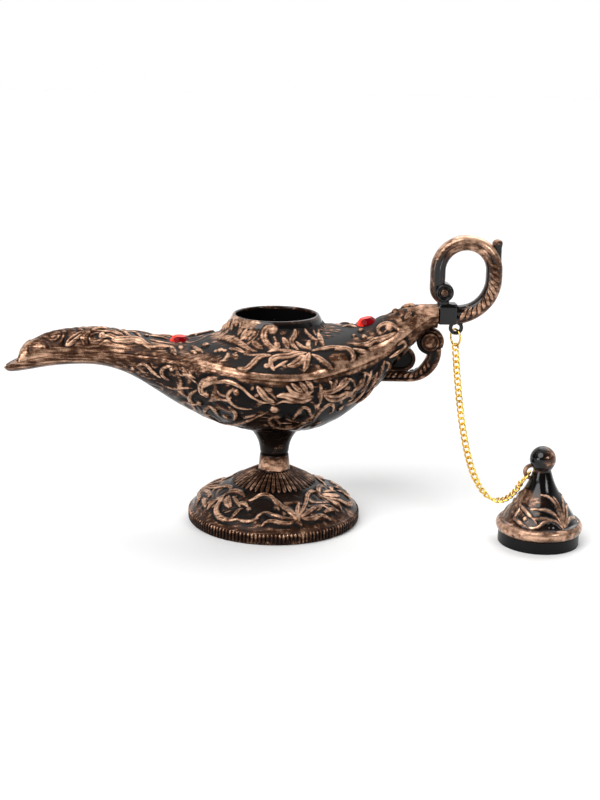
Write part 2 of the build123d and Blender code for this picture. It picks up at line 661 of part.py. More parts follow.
def make_lid_cap():
    """Hollow bell with its bead, neck and ball, and the eye for the chain."""
    step = PLUG_RADIUS - PLUG_TENON_STEP + PLUG_CLEARANCE
    ledge = PLUG_DEPTH + PLUG_TENON + PLUG_CLEARANCE
    bead_low = point(PLUG_RADIUS, PLUG_DEPTH)
    bead_high = point(LID_CONE_BASE, LID_BEAD_TOP)
    cone_high = point(LID_CONE_TOP, LID_CONE_TOP_HEIGHT)
    neck = point(LID_NECK_RADIUS, LID_NECK_HEIGHT)
    bell = turned([
        Line(point(0, PLUG_DEPTH), bead_low),
        ThreePointArc(bead_low, point(LID_BEAD_RADIUS, (PLUG_DEPTH + LID_BEAD_TOP) / 2), bead_high),
        Line(bead_high, cone_high),
        TangentArc(cone_high, neck, tangent=cone_high - bead_high),
        Line(neck, point(LID_NECK_RADIUS, LID_BALL_HEIGHT)),
        Line(point(LID_NECK_RADIUS, LID_BALL_HEIGHT), point(0, LID_BALL_HEIGHT)),
        Line(point(0, LID_BALL_HEIGHT), point(0, PLUG_DEPTH)),
    ])
    inner = PLUG_RADIUS - PLUG_WALL
    hollow = turned([
        Polyline(
            point(0, PLUG_DEPTH),
            point(step, PLUG_DEPTH),
            point(step, ledge),
            point(inner, ledge),
            point(LID_CONE_BASE - LID_WALL, LID_BEAD_TOP),
            point(LID_CONE_TOP - LID_WALL, LID_CONE_TOP_HEIGHT - LID_WALL),
            point(0, LID_CONE_TOP_HEIGHT - LID_WALL),
            point(0, PLUG_DEPTH),
        )
    ])
    ball = Pos(0, 0, LID_BALL_HEIGHT) * Sphere(LID_BALL_RADIUS)
    eye = Pos(EYE_X - LID_X, 0, EYE_HEIGHT) * Rot(90, 0, 0) * Torus(EYE_RADIUS, EYE_BAR)
    return LID_PLACE * (bell - hollow + ball + eye)


# Heights and places that several pieces share
UP = (Align.CENTER, Align.CENTER, Align.MIN)
DEEPEST = min(keel for x, keel, seam, deck in BODY_LINES)
SEAM_HEIGHT = JOINT_HEIGHT + STEM_HEIGHT - DEEPEST
MOUTH_DECK = max(deck for x, keel, seam, deck in BODY_LINES if x == 0)
MOUTH_HEIGHT = SEAM_HEIGHT + MOUTH_DECK + MOUTH_RISE
SPIGOT_END = JOINT_HEIGHT - SPIGOT_LENGTH
FLOOR_UNDERSIDE = SPIGOT_END - SPIGOT_END_GAP - JOINT_FLOOR
TAIL_X = BODY_LINES[-1][0] + TAIL_COLLAR
HANDLE_HEIGHT = SEAM_HEIGHT + BODY_LINES[-1][2] + HANDLE_RISE
LOOP_BEND_X = TAIL_X + SHANK_LENGTH
LUG_X = LOOP_BEND_X + LUG_OFFSET
LUG_HEIGHT = HANDLE_HEIGHT - LUG_DROP
SCROLL_ARM_HEIGHT = SEAM_HEIGHT - SCROLL_ARM_DROP
SCROLL_VOLUTE_HEIGHT = SCROLL_ARM_HEIGHT + SCROLL_VOLUTE_RISE
PLUG_RADIUS = MOUTH_RADIUS - LID_CLEARANCE
LID_CONE_TOP_HEIGHT = LID_NECK_HEIGHT - LID_NECK_LENGTH
LID_BALL_HEIGHT = LID_NECK_HEIGHT + LID_BALL_RISE
LID_PLACE = Pos(LID_X, LID_Y, 0)
EYE_X = LID_X - LID_NECK_RADIUS - EYE_OFFSET
EYE_HEIGHT = LID_NECK_HEIGHT - EYE_DROP

# Jump rings: each hangs from its eye, and the chain starts and ends inside its far side
turn = math.radians(RING_TURN)
top_down = Vector(0, 0, -1)
top_across = Vector(math.sin(turn), -math.cos(turn), 0)
ring_rest = LUG_HOLE_RADIUS - RING_WIRE - RING_SLACK
top_ring_top = point(LUG_X, LUG_HEIGHT - ring_rest)
top_centre = top_ring_top + top_down * RING_RADIUS
lid_down = Vector(*LID_RING_LEAN).normalized()
level_across = (Vector(0, 1, 0) - lid_down * lid_down.Y).normalized()
lid_across = level_across.rotate(Axis((0, 0, 0), lid_down), LID_RING_TURN)
lid_ring_top = Vector(EYE_X - LID_RING_OFFSET, LID_Y, EYE_HEIGHT - LID_RING_DROP)
lid_centre = lid_ring_top + lid_down * RING_RADIUS
inset = RING_RADIUS - RING_WIRE - LINK_PLAY / 2
chain_start = top_centre + top_down * inset
chain_end = lid_centre + lid_down * inset
place, heading = hanging_line(chain_start, chain_end, LINK_COUNT * LINK_PITCH)

hull = lower_loft(0) + upper_loft(0) + tail_block()
rear_scroll = make_rear_scroll(hull)
pieces = {
    "foot": make_foot(),
    "foot_washer": make_foot_washer(),
    "foot_screw": make_foot_screw(),
    "lower_shell": make_lower_shell(),
    "upper_shell": make_upper_shell(),
    "front_gem": make_gem(FRONT_GEM_X, FRONT_GEM_PITCH),
    "rear_gem": make_gem(REAR_GEM_X, REAR_GEM_PITCH),
    "ring_handle": make_ring_handle(),
    "rear_scroll": rear_scroll,
    "inner_curl": make_inner_curl(hull, rear_scroll),
    "handle_ring": jump_ring(top_centre, top_down, top_across),
    "lid_ring": jump_ring(lid_centre, lid_down, lid_across),
    "lid_plug": make_lid_plug(),
    "lid_cap": make_lid_cap(),
}
for number, piece in enumerate(make_chain(place, heading), start=1):
    pieces[f"chain_{number}"] = piece

for name, shape in pieces.items():
    export_step(shape, f"parts/{name}.step")

print("handle ring hangs at", top_ring_top, "and rocks about", top_across)
print("chain bends about", heading.cross(Vector(0, 0, 1)))
for index in range(0, LINK_COUNT + 1, LINKS_PER_PIECE):
    print("chain pivot", index // LINKS_PER_PIECE, place(index * LINK_PITCH))
print("lid hangs at", lid_ring_top, "and rocks about", -lid_across)
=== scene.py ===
# %% [markdown]
# # Genie oil lamp
# The lamp is moulded in black plastic and rubbed with bronze, so the raised ornament is warm metal and the hollows
# stay black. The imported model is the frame: each piece below takes the place of one of its nodes, rides on that
# node's body and keeps its outline, and adds the relief that a casting of this kind carries.

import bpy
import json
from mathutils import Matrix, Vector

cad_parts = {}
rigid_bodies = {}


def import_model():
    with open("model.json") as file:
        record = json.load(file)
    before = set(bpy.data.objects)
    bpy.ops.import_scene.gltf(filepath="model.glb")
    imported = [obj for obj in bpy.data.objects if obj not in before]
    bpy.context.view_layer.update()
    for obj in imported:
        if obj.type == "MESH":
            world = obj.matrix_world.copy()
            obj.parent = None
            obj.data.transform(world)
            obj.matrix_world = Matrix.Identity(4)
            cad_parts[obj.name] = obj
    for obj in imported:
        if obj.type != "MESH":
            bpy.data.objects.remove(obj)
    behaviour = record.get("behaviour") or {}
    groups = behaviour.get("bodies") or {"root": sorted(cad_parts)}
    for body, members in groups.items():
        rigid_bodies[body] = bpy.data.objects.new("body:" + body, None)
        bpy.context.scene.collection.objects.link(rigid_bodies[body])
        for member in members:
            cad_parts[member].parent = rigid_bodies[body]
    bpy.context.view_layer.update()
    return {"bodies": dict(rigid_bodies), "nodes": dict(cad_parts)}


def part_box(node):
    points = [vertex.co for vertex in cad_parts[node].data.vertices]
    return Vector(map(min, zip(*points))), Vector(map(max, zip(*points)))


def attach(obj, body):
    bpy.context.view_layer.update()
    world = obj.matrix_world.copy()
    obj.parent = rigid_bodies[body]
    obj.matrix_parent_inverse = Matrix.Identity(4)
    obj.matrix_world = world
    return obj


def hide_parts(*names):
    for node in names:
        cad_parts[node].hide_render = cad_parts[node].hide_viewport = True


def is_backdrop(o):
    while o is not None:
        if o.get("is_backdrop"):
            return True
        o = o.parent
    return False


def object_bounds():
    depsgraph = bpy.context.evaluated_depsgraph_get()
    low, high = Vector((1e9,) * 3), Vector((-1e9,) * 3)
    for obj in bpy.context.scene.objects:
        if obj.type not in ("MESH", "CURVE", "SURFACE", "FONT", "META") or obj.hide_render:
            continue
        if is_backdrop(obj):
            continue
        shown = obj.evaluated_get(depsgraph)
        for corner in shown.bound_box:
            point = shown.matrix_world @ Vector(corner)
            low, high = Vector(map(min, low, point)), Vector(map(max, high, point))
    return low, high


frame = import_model()

# %% [markdown]
# ## From points to pieces
# Every surface here is a grid of points in millimetres. A grid keeps the relief even, and it can carry a value at
# each point: "rub" is how much bronze the cloth left there, and "matt" is how dull the ground is. Sculpting by hand
# would give the same forms, but a grid can be measured against the frame and made again at any fineness.

# %% Grids, meshes and pieces
import json
import math

import bmesh
import bpy
import numpy as np
from mathutils import Matrix, Vector
from mathutils.bvhtree import BVHTree

MM = 0.001


def quads(rows, columns, closed=False):
    """Faces between neighbours of a grid stored row by row; closed joins its last column to its first."""
    here = np.arange(rows * columns).reshape(rows, columns)
    beside = np.roll(here, -1, axis=1)
    if not closed:
        here, beside = here[:, :-1], beside[:, :-1]
    return np.stack([here[:-1], beside[:-1], beside[1:], here[1:]], axis=-1).reshape(-1, 4)


def sheet(grid, rub=0.0, matt=0.0, closed=False):
    """A grid as (points, faces, rub, matt)."""
    rows, columns = grid.shape[:2]
    spread = np.ones(rows * columns)
    points = grid.reshape(-1, 3)
    return points, quads(rows, columns, closed).tolist(), spread * np.ravel(rub), spread * np.ravel(matt)


def joined(*sheets):
    """Several sheets as one."""
    faces, count = [], 0
    for points, some, _, _ in sheets:
        faces += [[corner + count for corner in face] for face in some]
        count += len(points)
    return (np.vstack([s[0] for s in sheets]), faces, np.concatenate([s[2] for s in sheets]),
            np.concatenate([s[3] for s in sheets]))


def as_mesh(name, whole, smooth=True):
    """Mesh of a sheet, with its normals turned outwards."""
    points, faces, rub, matt = whole
    mesh = bpy.data.meshes.new(name)
    mesh.from_pydata((points * MM).tolist(), [], faces)
    for key, values in (("rub", rub), ("matt", matt)):
        mesh.attributes.new(key, "FLOAT", "POINT").data.foreach_set("value", np.asarray(values, np.float32))
    shell = bmesh.new()
    shell.from_mesh(mesh)
    bmesh.ops.recalc_face_normals(shell, faces=shell.faces)
    shell.to_mesh(mesh)
    shell.free()
    mesh.polygons.foreach_set("use_smooth", np.full(len(mesh.polygons), smooth))
    return mesh


def placed(name, data):
    """A new object of the scene."""
    obj = bpy.data.objects.new(name, data)
    bpy.context.scene.collection.objects.link(obj)
    return obj


def piece(name, form, finish, body, *nodes, slot="antique_bronze", smooth=True):
    """A sheet or a mesh as a piece that rides on a body and stands for the named nodes."""
    mesh = form if isinstance(form, bpy.types.Mesh) else as_mesh(name, form, smooth)
    obj = placed(name, mesh)
    mesh.materials.clear()
    mesh.materials.append(finish)
    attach(obj, body)
    if nodes:
        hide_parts(*nodes)
    print(name, "has", len(mesh.polygons), "faces and rides on", body)


# %% [markdown]
# ## Writing node trees as sums
# Shaders and Geometry Nodes are both trees of sockets. One small class wraps a socket, so that arithmetic on it adds
# Math nodes and `through` adds any other node, its settings first and its sockets after them.

# %% A socket that can be reckoned with
class Flow:
    """An output socket of a node tree."""

    def __init__(self, socket):
        self.socket = socket
        self.tree = socket.id_data

    def through(self, kind, settings, plugs, output=0):
        """Another node of the same tree, fed from values or other flows."""
        return grown(self.tree, kind, settings, plugs, output)

    def reckon(self, operation, first, second=0.0):
        return self.through("ShaderNodeMath", {"operation": operation}, {0: first, 1: second})

    def __add__(self, other):
        return self.reckon("ADD", self, other)

    def __radd__(self, other):
        return self.reckon("ADD", other, self)

    def __sub__(self, other):
        return self.reckon("SUBTRACT", self, other)

    def __rsub__(self, other):
        return self.reckon("SUBTRACT", other, self)

    def __mul__(self, other):
        return self.reckon("MULTIPLY", self, other)

    def __truediv__(self, other):
        return self.reckon("DIVIDE", self, other)

    def smooth(self, low, high):
        """Eased step from 0 at low to 1 at high."""
        return self.through("ShaderNodeMapRange", {"interpolation_type": "SMOOTHSTEP"},
                            {"Value": self, "From Min": low, "From Max": high})


def plug(node, plugs):
    """Feeds a node's inputs from values or flows."""
    for key, value in plugs.items():
        if isinstance(value, Flow):
            value.tree.links.new(value.socket, node.inputs[key])
        else:
            node.inputs[key].default_value = value


def grown(tree, kind, settings, plugs, output=0):
    """A new node in a tree, as the flow out of one of its outputs."""
    node = tree.nodes.new(kind)
    for key, value in settings.items():
        setattr(node, key, value)
    plug(node, plugs)
    return Flow(node.outputs[output])


def blended(amount, first, second):
    """Mix of two colours; each is a flow or four numbers."""
    return amount.through("ShaderNodeMix", {"data_type": "RGBA"}, {0: amount, 6: first, 7: second}, output=2)


# %% [markdown]
# ## Finishes
# Antique bronze is two coats in one: a black moulding, glossy on the hull and duller on the stippled ground of the
# deck, and a bronze paste that a cloth leaves on whatever stands proud. The mask between them is the carved height,
# broken up by streaks, which run along the spout and turn to dabs behind it, and by fine specks, which is how
# dry-brushed paste catches on plastic. The handle, the mouth and the lid come from smoother moulds, so their black is
# a glossier grade.

# %% Antique bronze
BLACK = (0.004, 0.0034, 0.0034, 1)
STIPPLE = (0.014, 0.0125, 0.012, 1)
UMBER = (0.026, 0.011, 0.006, 1)
# Paste from deep to bright: the bright end, on the crests, is partly a painted highlight, and the deep end on the
# flanks partly painted shade.
BRONZE_DEEP = (0.080, 0.032, 0.015, 1)
BRONZE_HIGHLIGHT = (0.84, 0.51, 0.34, 1)
PASTE_METAL, PASTE_ROUGH = 0.48, 0.23
STIPPLE_ROUGH, SPECK_ROUGH = 0.26, 0.14
DAB_SCALE, BRUSH_SCALE, SPECK_SCALE, CLOUD_SCALE = 520.0, 900.0, 2400.0, 130.0
DABS_FROM, DABS_TO, DABS_SHARE = -0.05, 0.03, 0.75
GRAIN_DEPTH = 0.00003


def new_finish(name):
    """Empty material with its surface shader, and its coordinates in metres."""
    finish = bpy.data.materials.new(name)
    finish.use_nodes = True
    tree = finish.node_tree
    surface = tree.nodes["Principled BSDF"]
    place = grown(tree, "ShaderNodeTexCoord", {}, {}, output=3)
    return finish, tree, surface, place


def noise(place, scale, detail=3.0, stretch=None):
    """Noise about 0, on coordinates that may be stretched."""
    if stretch:
        place = place.through("ShaderNodeMapping", {}, {"Vector": place, "Scale": stretch})
    return place.through("ShaderNodeTexNoise", {}, {"Vector": place, "Scale": scale, "Detail": detail}) - 0.5


def painted(tree, name):
    """The value that the meshes carry under a name."""
    return grown(tree, "ShaderNodeAttribute", {"attribute_name": name}, {}, output=2)


def wire_up(surface, **plugs):
    """Feeds the surface shader; underscores in the names stand for spaces."""
    plug(surface, {key.replace("_", " "): value for key, value in plugs.items()})


def pitted(height, distance, strength=0.6):
    """Normal of a surface bumped by a height."""
    return height.through("ShaderNodeBump", {}, {"Height": height, "Distance": distance, "Strength": strength})


def antique_bronze(name, shine, smoothness):
    """Paste over black; shine and smoothness are those of the bare black."""
    finish, tree, surface, place = new_finish(name)
    rub, matt = painted(tree, "rub"), painted(tree, "matt")
    split = tree.nodes.new("ShaderNodeSeparateXYZ")
    tree.links.new(place.socket, split.inputs[0])
    dabbed = Flow(split.outputs["X"]).smooth(DABS_FROM, DABS_TO)
    dabs = noise(place, DAB_SCALE, 5.0, (0.6, 1.0, 1.0))
    brushed = noise(place, BRUSH_SCALE, 5.0, (0.13, 1.0, 1.0))
    streaks = brushed + (dabs - brushed) * dabbed * DABS_SHARE
    specks = noise(place, SPECK_SCALE, 2.0)
    clouds = noise(place, CLOUD_SCALE)
    mask = (rub + streaks * 1.1 + specks * 0.4 + clouds * 0.7).smooth(0.34, 0.62)
    # Painted highlight and shade, partly the paste's own tone: brightest where rub peaks on the crests, darker on the
    # flanks, broken up by streaks, specks and clouds.
    shade = (rub * 0.75 + specks * 0.6 + streaks * 1.6 + clouds * 1.1).smooth(0.32, 1.14)
    bronze = blended(shade, BRONZE_DEEP, BRONZE_HIGHLIGHT)
    ground = blended(rub.smooth(0.18, 0.5), blended(matt, BLACK, STIPPLE), UMBER)
    wire_up(surface,
            Base_Color=blended(mask, ground, bronze),
            Metallic=mask * PASTE_METAL,
            Roughness=smoothness + matt * STIPPLE_ROUGH + mask * (PASTE_ROUGH - smoothness) + specks * SPECK_ROUGH,
            Normal=pitted(specks + streaks * 0.6, GRAIN_DEPTH),
            Specular_IOR_Level=shine)
    return finish


bronze = antique_bronze("antique_bronze", 0.09, 0.20)
lacquered = antique_bronze("antique_bronze_lacquered", 0.34, 0.09)
print("finishes:", bronze.name, "and", lacquered.name, "with", len(bronze.node_tree.nodes), "nodes each")

# %% [markdown]
# The other finishes are plainer: matt black for the plug, gold plate for the chain, zinc for the screw and red foiled
# stones. Each still has the fine unevenness that keeps it from looking like a computed surface.

# %% Plastic, plate and stone
# Stone colours, deep to bright, follow each facet's painted highlight; the glow colours are painted light.
STONE_DEEP, STONE_GLINT = (0.17, 0.0, 0.003, 1), (0.90, 0.03, 0.02, 1)
GLOW_DEEP, GLOW_BRIGHT, PAINTED_GLOW = (0.05, 0.0, 0.0, 1), (1.0, 0.07, 0.03, 1), 0.32


def plain(name, colour, metallic, roughness, grain, depth, wear, shine=0.5):
    """A finish of one colour whose roughness and surface wander a little."""
    finish, tree, surface, place = new_finish(name)
    fine = noise(place, grain)
    broad = noise(place, grain / 12)
    dull = tuple(part * 0.72 for part in colour) + (1,)
    wire_up(surface,
            Base_Color=blended((fine + broad * 2).smooth(-0.5, 0.6), dull, tuple(colour) + (1,)),
            Roughness=roughness + fine * wear + broad * wear,
            Normal=pitted(fine, depth),
            Metallic=metallic, Specular_IOR_Level=shine)
    return finish


def red_stone():
    """Clear red over foil; each facet carries, as its rub, a painted highlight set by where it faces, and the stone
    glows as painted light.
    """
    finish, tree, surface, place = new_finish("red_stone")
    # Painted highlight and glow: each facet's colour and emission follow the painted highlight it carries as rub.
    glint_and_glow = (painted(tree, "rub") + noise(place, 900.0, 1.0) * 0.3).smooth(0.30, 0.90)
    wire_up(surface,
            Base_Color=blended(glint_and_glow, STONE_DEEP, STONE_GLINT),
            # Painted glow: the stone emits light though it is no lamp.
            Emission_Color=blended(glint_and_glow, GLOW_DEEP, GLOW_BRIGHT),
            Emission_Strength=PAINTED_GLOW, Roughness=0.12, Specular_IOR_Level=0.06)
    return finish


black_plastic = plain("black_plastic", (0.005, 0.005, 0.0052), 0.0, 0.36, 3000.0, 0.00004, 0.2, 0.15)
gold = plain("gold_chain", (0.90, 0.60, 0.13), 1.0, 0.20, 2600.0, 0.00001, 0.12)
steel = plain("plated_steel", (0.62, 0.62, 0.63), 1.0, 0.34, 1800.0, 0.00001, 0.2)
stone = red_stone()
print("finishes:", [f.name for f in (black_plastic, gold, steel, stone)])

# %% [markdown]
# ## Camera
# The viewpoint was fitted to the foot, the mouth and the lid, whose sizes are known. Everything that is placed in the
# view below is placed through this camera.

# %% The camera
VIEW_WIDE, VIEW_HIGH = 600, 800
FOCAL = 1359.709
EYE = np.array([10.918, -638.086, 225.502])
YAW, PITCH, ROLL = np.radians([0.111, 14.575, 0.965])
SENSOR = 36.0

ahead = np.array([math.sin(YAW) * math.cos(PITCH), math.cos(YAW) * math.cos(PITCH), -math.sin(PITCH)])
level = np.array([math.cos(YAW), -math.sin(YAW), 0.0])
rise = np.cross(level, ahead)
aside = math.cos(ROLL) * level + math.sin(ROLL) * rise
upward = -math.sin(ROLL) * level + math.cos(ROLL) * rise

lens = bpy.data.cameras.new("viewpoint")
lens.sensor_width = SENSOR
lens.lens = FOCAL / VIEW_HIGH * SENSOR
lens.clip_start, lens.clip_end = 0.05, 20.0
camera = placed("viewpoint", lens)
turn = Matrix([list(row) for row in np.array([aside, upward, -ahead]).T])
camera.matrix_world = Matrix.Translation(Vector(EYE * MM)) @ turn.to_4x4()
bpy.context.scene.camera = camera
print("camera lens", round(lens.lens, 2), "mm")

# %% [markdown]
# ## Light
# The lamp stands on a white sweep in a studio. The eye sees plain white all round, while the black plastic mirrors a
# room that is white behind and overhead and dim behind the camera. A broad soft lamp stands high on the left and one
# behind draws the upper edges, both as far as the sun, so the sweep is lit evenly. A low box on the left lights the
# hull's flank and a small one fills the right. The sweep throws little light back up, so the hollows stay black.

# %% Floor, world and lamps
FLOOR_HALF = 6.0
FLOOR_DROP = 0.0001
FLOOR_WHITE, FLOOR_BOUNCE = (0.93, 0.93, 0.93, 1), (0.30, 0.30, 0.30, 1)
ROOM_DIM, WORLD_SOFT = 0.05, 0.45
AIM = (0, 0, 0.07)
LAMPS = {  # kind, place, target, power, and the breadth: degrees of a sun, metres of a box
    "key_lamp": ("SUN", (-0.45, -0.50, 0.75), AIM, 2.3, 44),
    "back_lamp": ("SUN", (0.20, 0.55, 0.80), AIM, 1.6, 54),
    "side_box": ("AREA", (-0.62, -0.62, 0.17), (-0.03, 0, 0.07), 2.6, 0.36),
    "fill_box": ("AREA", (0.75, -0.80, 0.50), (0.03, 0, 0.07), 2.6, 0.3),
}
floor_mesh = bpy.data.meshes.new("floor")
corners = [(x * FLOOR_HALF, y * FLOOR_HALF, -FLOOR_DROP) for x, y in ((-1, -1), (1, -1), (1, 1), (-1, 1))]
floor_mesh.from_pydata(corners, [], [(0, 1, 2, 3)])
floor_finish, floor_tree, floor_surface, _ = new_finish("white_sweep")
floor_ray = floor_tree.nodes.new("ShaderNodeLightPath")
floor_seen = sum((Flow(floor_ray.outputs[kind]) for kind in ("Is Glossy Ray", "Is Transmission Ray")),
                 Flow(floor_ray.outputs["Is Camera Ray"]))
wire_up(floor_surface, Base_Color=blended(floor_seen, FLOOR_BOUNCE, FLOOR_WHITE), Roughness=0.9,
        Specular_IOR_Level=0.0)
floor_mesh.materials.append(floor_finish)
floor = placed("floor", floor_mesh)
floor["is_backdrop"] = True

world = bpy.data.worlds.new("studio")
world.use_nodes = True
bpy.context.scene.world = world
sky = world.node_tree
backdrop = sky.nodes["Background"]
ray = sky.nodes.new("ShaderNodeLightPath")
watched = Flow(ray.outputs["Is Camera Ray"])
mirrored = Flow(ray.outputs["Is Glossy Ray"]) + Flow(ray.outputs["Is Transmission Ray"])
towards = sky.nodes.new("ShaderNodeSeparateXYZ")
sky.links.new(grown(sky, "ShaderNodeTexCoord", {}, {}).socket, towards.inputs[0])
sweep = (Flow(towards.outputs["Y"]) * 0.8 + Flow(towards.outputs["Z"]) * 0.6).smooth(-0.1, 0.75)
shown = (ROOM_DIM + sweep * (1 - ROOM_DIM)) * (WORLD_SOFT + mirrored * (1 - WORLD_SOFT))
shown = watched + shown * (1 - watched)
plug(backdrop, {"Strength": shown, "Color": (1, 1, 1, 1)})

for name, (kind, place, target, power, breadth) in LAMPS.items():
    light = bpy.data.lights.new(name, kind)
    light.energy = power
    if kind == "SUN":
        light.angle = math.radians(breadth)
    else:
        light.size = breadth
    away = Vector(place) - Vector(target)
    placed(name, light).matrix_world = Matrix.Translation(place) @ away.to_track_quat("Z", "Y").to_matrix().to_4x4()
bpy.context.scene.view_settings.view_transform = "Standard"

# %% [markdown]
# ## Carving tools
# The ornament was drawn as strokes over the fitted view, each a smooth curve with a width. A ray through every step
# of a stroke finds where it lies on the smooth surface, so the relief sits on the lamp from any side. The height of
# a point is that of the tallest stroke over it. Displacing the grid along its normals then gives real relief.

# %% Strokes, rays and relief
STROKE_STEP = 0.6
STROKE_RISE = 0.40
STROKE_SPREAD = 1.18
STROKE_TALLEST = 1.45
TAPER, SWELL = 0.5, 1.25
GROOVED_FROM, GROOVE_DEPTH, GROOVE_WIDE = 1.2, 0.4, 0.2
LEAF_SCALE = 13.0
VEIN_WAVES, VEIN_TURNS, VEIN_RUB = 9, 3.4, 0.75
VALLEY_REACH = 4
RAY_NEAR, RAY_FAR, RAY_STEP = 540, 800, 4


def ramp(values, low, high):
    """Eased step from 0 at low to 1 at high."""
    part = np.clip((values - low) / (high - low), 0, 1)
    return part * part * (3 - 2 * part)


def span(values, low, low_end, high, high_end):
    """1 between the two inner values, eased to 0 at the outer ones."""
    return ramp(values, low, low_end) * (1 - ramp(values, high, high_end))


def smooth_line(points, step=STROKE_STEP):
    """Curve through the points in short steps."""
    p = np.asarray(points, float)
    p = np.vstack([2 * p[0] - p[1], p, 2 * p[-1] - p[-2]])
    bits = []
    for a, b, c, d in zip(p, p[1:], p[2:], p[3:]):
        t = np.linspace(0, 1, max(2, int(np.linalg.norm(c - b) / step)), endpoint=False)[:, None]
        bits.append(0.5 * (2 * b + (c - a) * t + (2 * a - 5 * b + 4 * c - d) * t**2 + (3 * b - a - 3 * c + d) * t**3))
    return np.vstack(bits + [p[-2:-1]])


def outward(grid, closed=False):
    """Unit normals of a grid, away from the middle of its rows."""
    along = np.gradient(grid, axis=0)
    across = np.roll(grid, -1, 1) - np.roll(grid, 1, 1) if closed else np.gradient(grid, axis=1)
    normal = np.cross(along, across)
    normal /= np.maximum(np.linalg.norm(normal, axis=2, keepdims=True), 1e-9)
    return normal * np.sign(np.sum(normal * (grid - grid.mean(axis=1, keepdims=True))))


def displaced(grid, height, closed=False):
    """The grid moved along its normals by a height at each point."""
    return grid + outward(grid, closed) * np.reshape(height, grid.shape[:2] + (1,))


class Relief:
    """Ornament on a grid: strokes and beads, folded so that one drawing serves every repeat of it."""

    def __init__(self, grid, fold=None, closed=False):
        self.grid, self.closed = grid, closed
        points = grid.reshape(-1, 3)
        self.spots = fold(points) if fold else points
        self.height = np.zeros(len(points))
        self.crest = np.zeros(len(points))
        self.tree = BVHTree.FromPolygons(points.tolist(), quads(*grid.shape[:2], closed).tolist())

    def seen_at(self, pixel):
        """The point of the surface behind a pixel of the view, or the nearest to that ray."""
        aim = ahead * FOCAL + aside * (pixel[0] - VIEW_WIDE / 2) - upward * (pixel[1] - VIEW_HIGH / 2)
        aim = Vector(aim / np.linalg.norm(aim))
        hit = self.tree.ray_cast(Vector(EYE), aim)[0]
        if hit is None:
            tries = [self.tree.find_nearest(Vector(EYE) + aim * far)
                     for far in range(RAY_NEAR, RAY_FAR, RAY_STEP)]
            hit = min(tries, key=lambda found: found[3])[0]
        return np.array(hit)

    def lay(self, line, start, end):
        """A rounded ridge along a line of points."""
        radius = np.linspace(start, end, len(line)) * STROKE_SPREAD / 2
        if len(line) > 1:
            radius *= TAPER + (SWELL - TAPER) * np.sin(np.linspace(0, math.pi, len(line))) ** 0.7
        reach = radius.max()
        near = np.flatnonzero(np.all((self.spots > line.min(0) - reach) & (self.spots < line.max(0) + reach), axis=1))
        if not len(near):
            return
        apart = np.linalg.norm(self.spots[near, None] - line[None], axis=2)
        nearest = apart.argmin(axis=1)
        part = apart[np.arange(len(near)), nearest] / radius[nearest]
        tall = np.minimum(2 * radius[nearest] * STROKE_RISE, STROKE_TALLEST)
        groove = np.where(radius[nearest] > GROOVED_FROM, GROOVE_DEPTH * np.exp(-((part / GROOVE_WIDE) ** 2)), 0.0)
        crest = np.clip(1 - part**2, 0, 1) ** 0.6 * (1 - groove)
        self.height[near] = np.maximum(self.height[near], tall * crest)
        self.crest[near] = np.maximum(self.crest[near], crest)

    def draw(self, strokes, beads=(), mirror=0.0):
        """Strokes (start width, end width, pixel, pixel, ...) and beads (radius, pixel x, pixel y).

        With a mirror, what lies beyond that distance on the near side is repeated on the far side.
        """
        lines = [(np.array([self.seen_at(p) for p in smooth_line(pixels)]), start, end)
                 for start, end, *pixels in strokes]
        lines += [(self.seen_at((x, y))[None], 2 * radius, 2 * radius) for radius, x, y in beads]
        for line, start, end in lines:
            self.lay(line, start, end)
            if mirror and line[:, 1].mean() < -mirror:
                self.lay(line * [1, -1, 1], start, end)

    def fill(self, share, tall, seed):
        """Low leaf veins between the strokes: contour lines of a smooth field, strongest where share is 1."""
        rough = np.random.default_rng(seed)
        field, patch = np.zeros(len(self.spots)), np.zeros(len(self.spots))
        for total, wave in ((field, 1.0), (patch, 1.6)):
            for _ in range(VEIN_WAVES):
                run = rough.normal(size=3)
                run *= 2 * math.pi / (LEAF_SCALE * wave * rough.uniform(0.8, 1.6) * np.linalg.norm(run))
                total += np.sin(self.spots @ run + rough.uniform(0, 2 * math.pi)) / math.sqrt(VEIN_WAVES)
        vein = np.abs(np.cos(VEIN_TURNS * field)) ** 1.6
        vein *= np.ravel(share) * ramp(patch, -0.5, 0.3) * (1 - ramp(self.crest, 0.0, 0.4))
        self.height = np.maximum(self.height, tall * vein)
        self.crest = np.maximum(self.crest, VEIN_RUB * vein)

    def rubbed(self):
        """Bronze that a cloth leaves on the crests, and the valleys beside them, darker partly from less paste and
        partly as painted shade.
        """
        height = self.height.reshape(self.grid.shape[:2])
        around = height
        for axis in (0, 1):
            around = sum(np.roll(around, shift, axis) for shift in range(-VALLEY_REACH, VALLEY_REACH + 1))
            around = around / (2 * VALLEY_REACH + 1)
        # Valleys beside the relief: partly less paste, partly painted shade.
        valley_shade = ramp(around - height, 0.02, 0.30)
        return ramp(self.crest, 0.30, 0.92).reshape(height.shape), valley_shade

    def raised(self):
        """The grid with its ornament."""
        return displaced(self.grid, self.height, self.closed)


# %% [markdown]
# ## Lines of the body
# The body is a boat: a hull below the seam and a deck above it, each half an ellipse across the lamp. Their keel,
# seam and deck heights are a boat builder's lines, bent through stations like a batten.

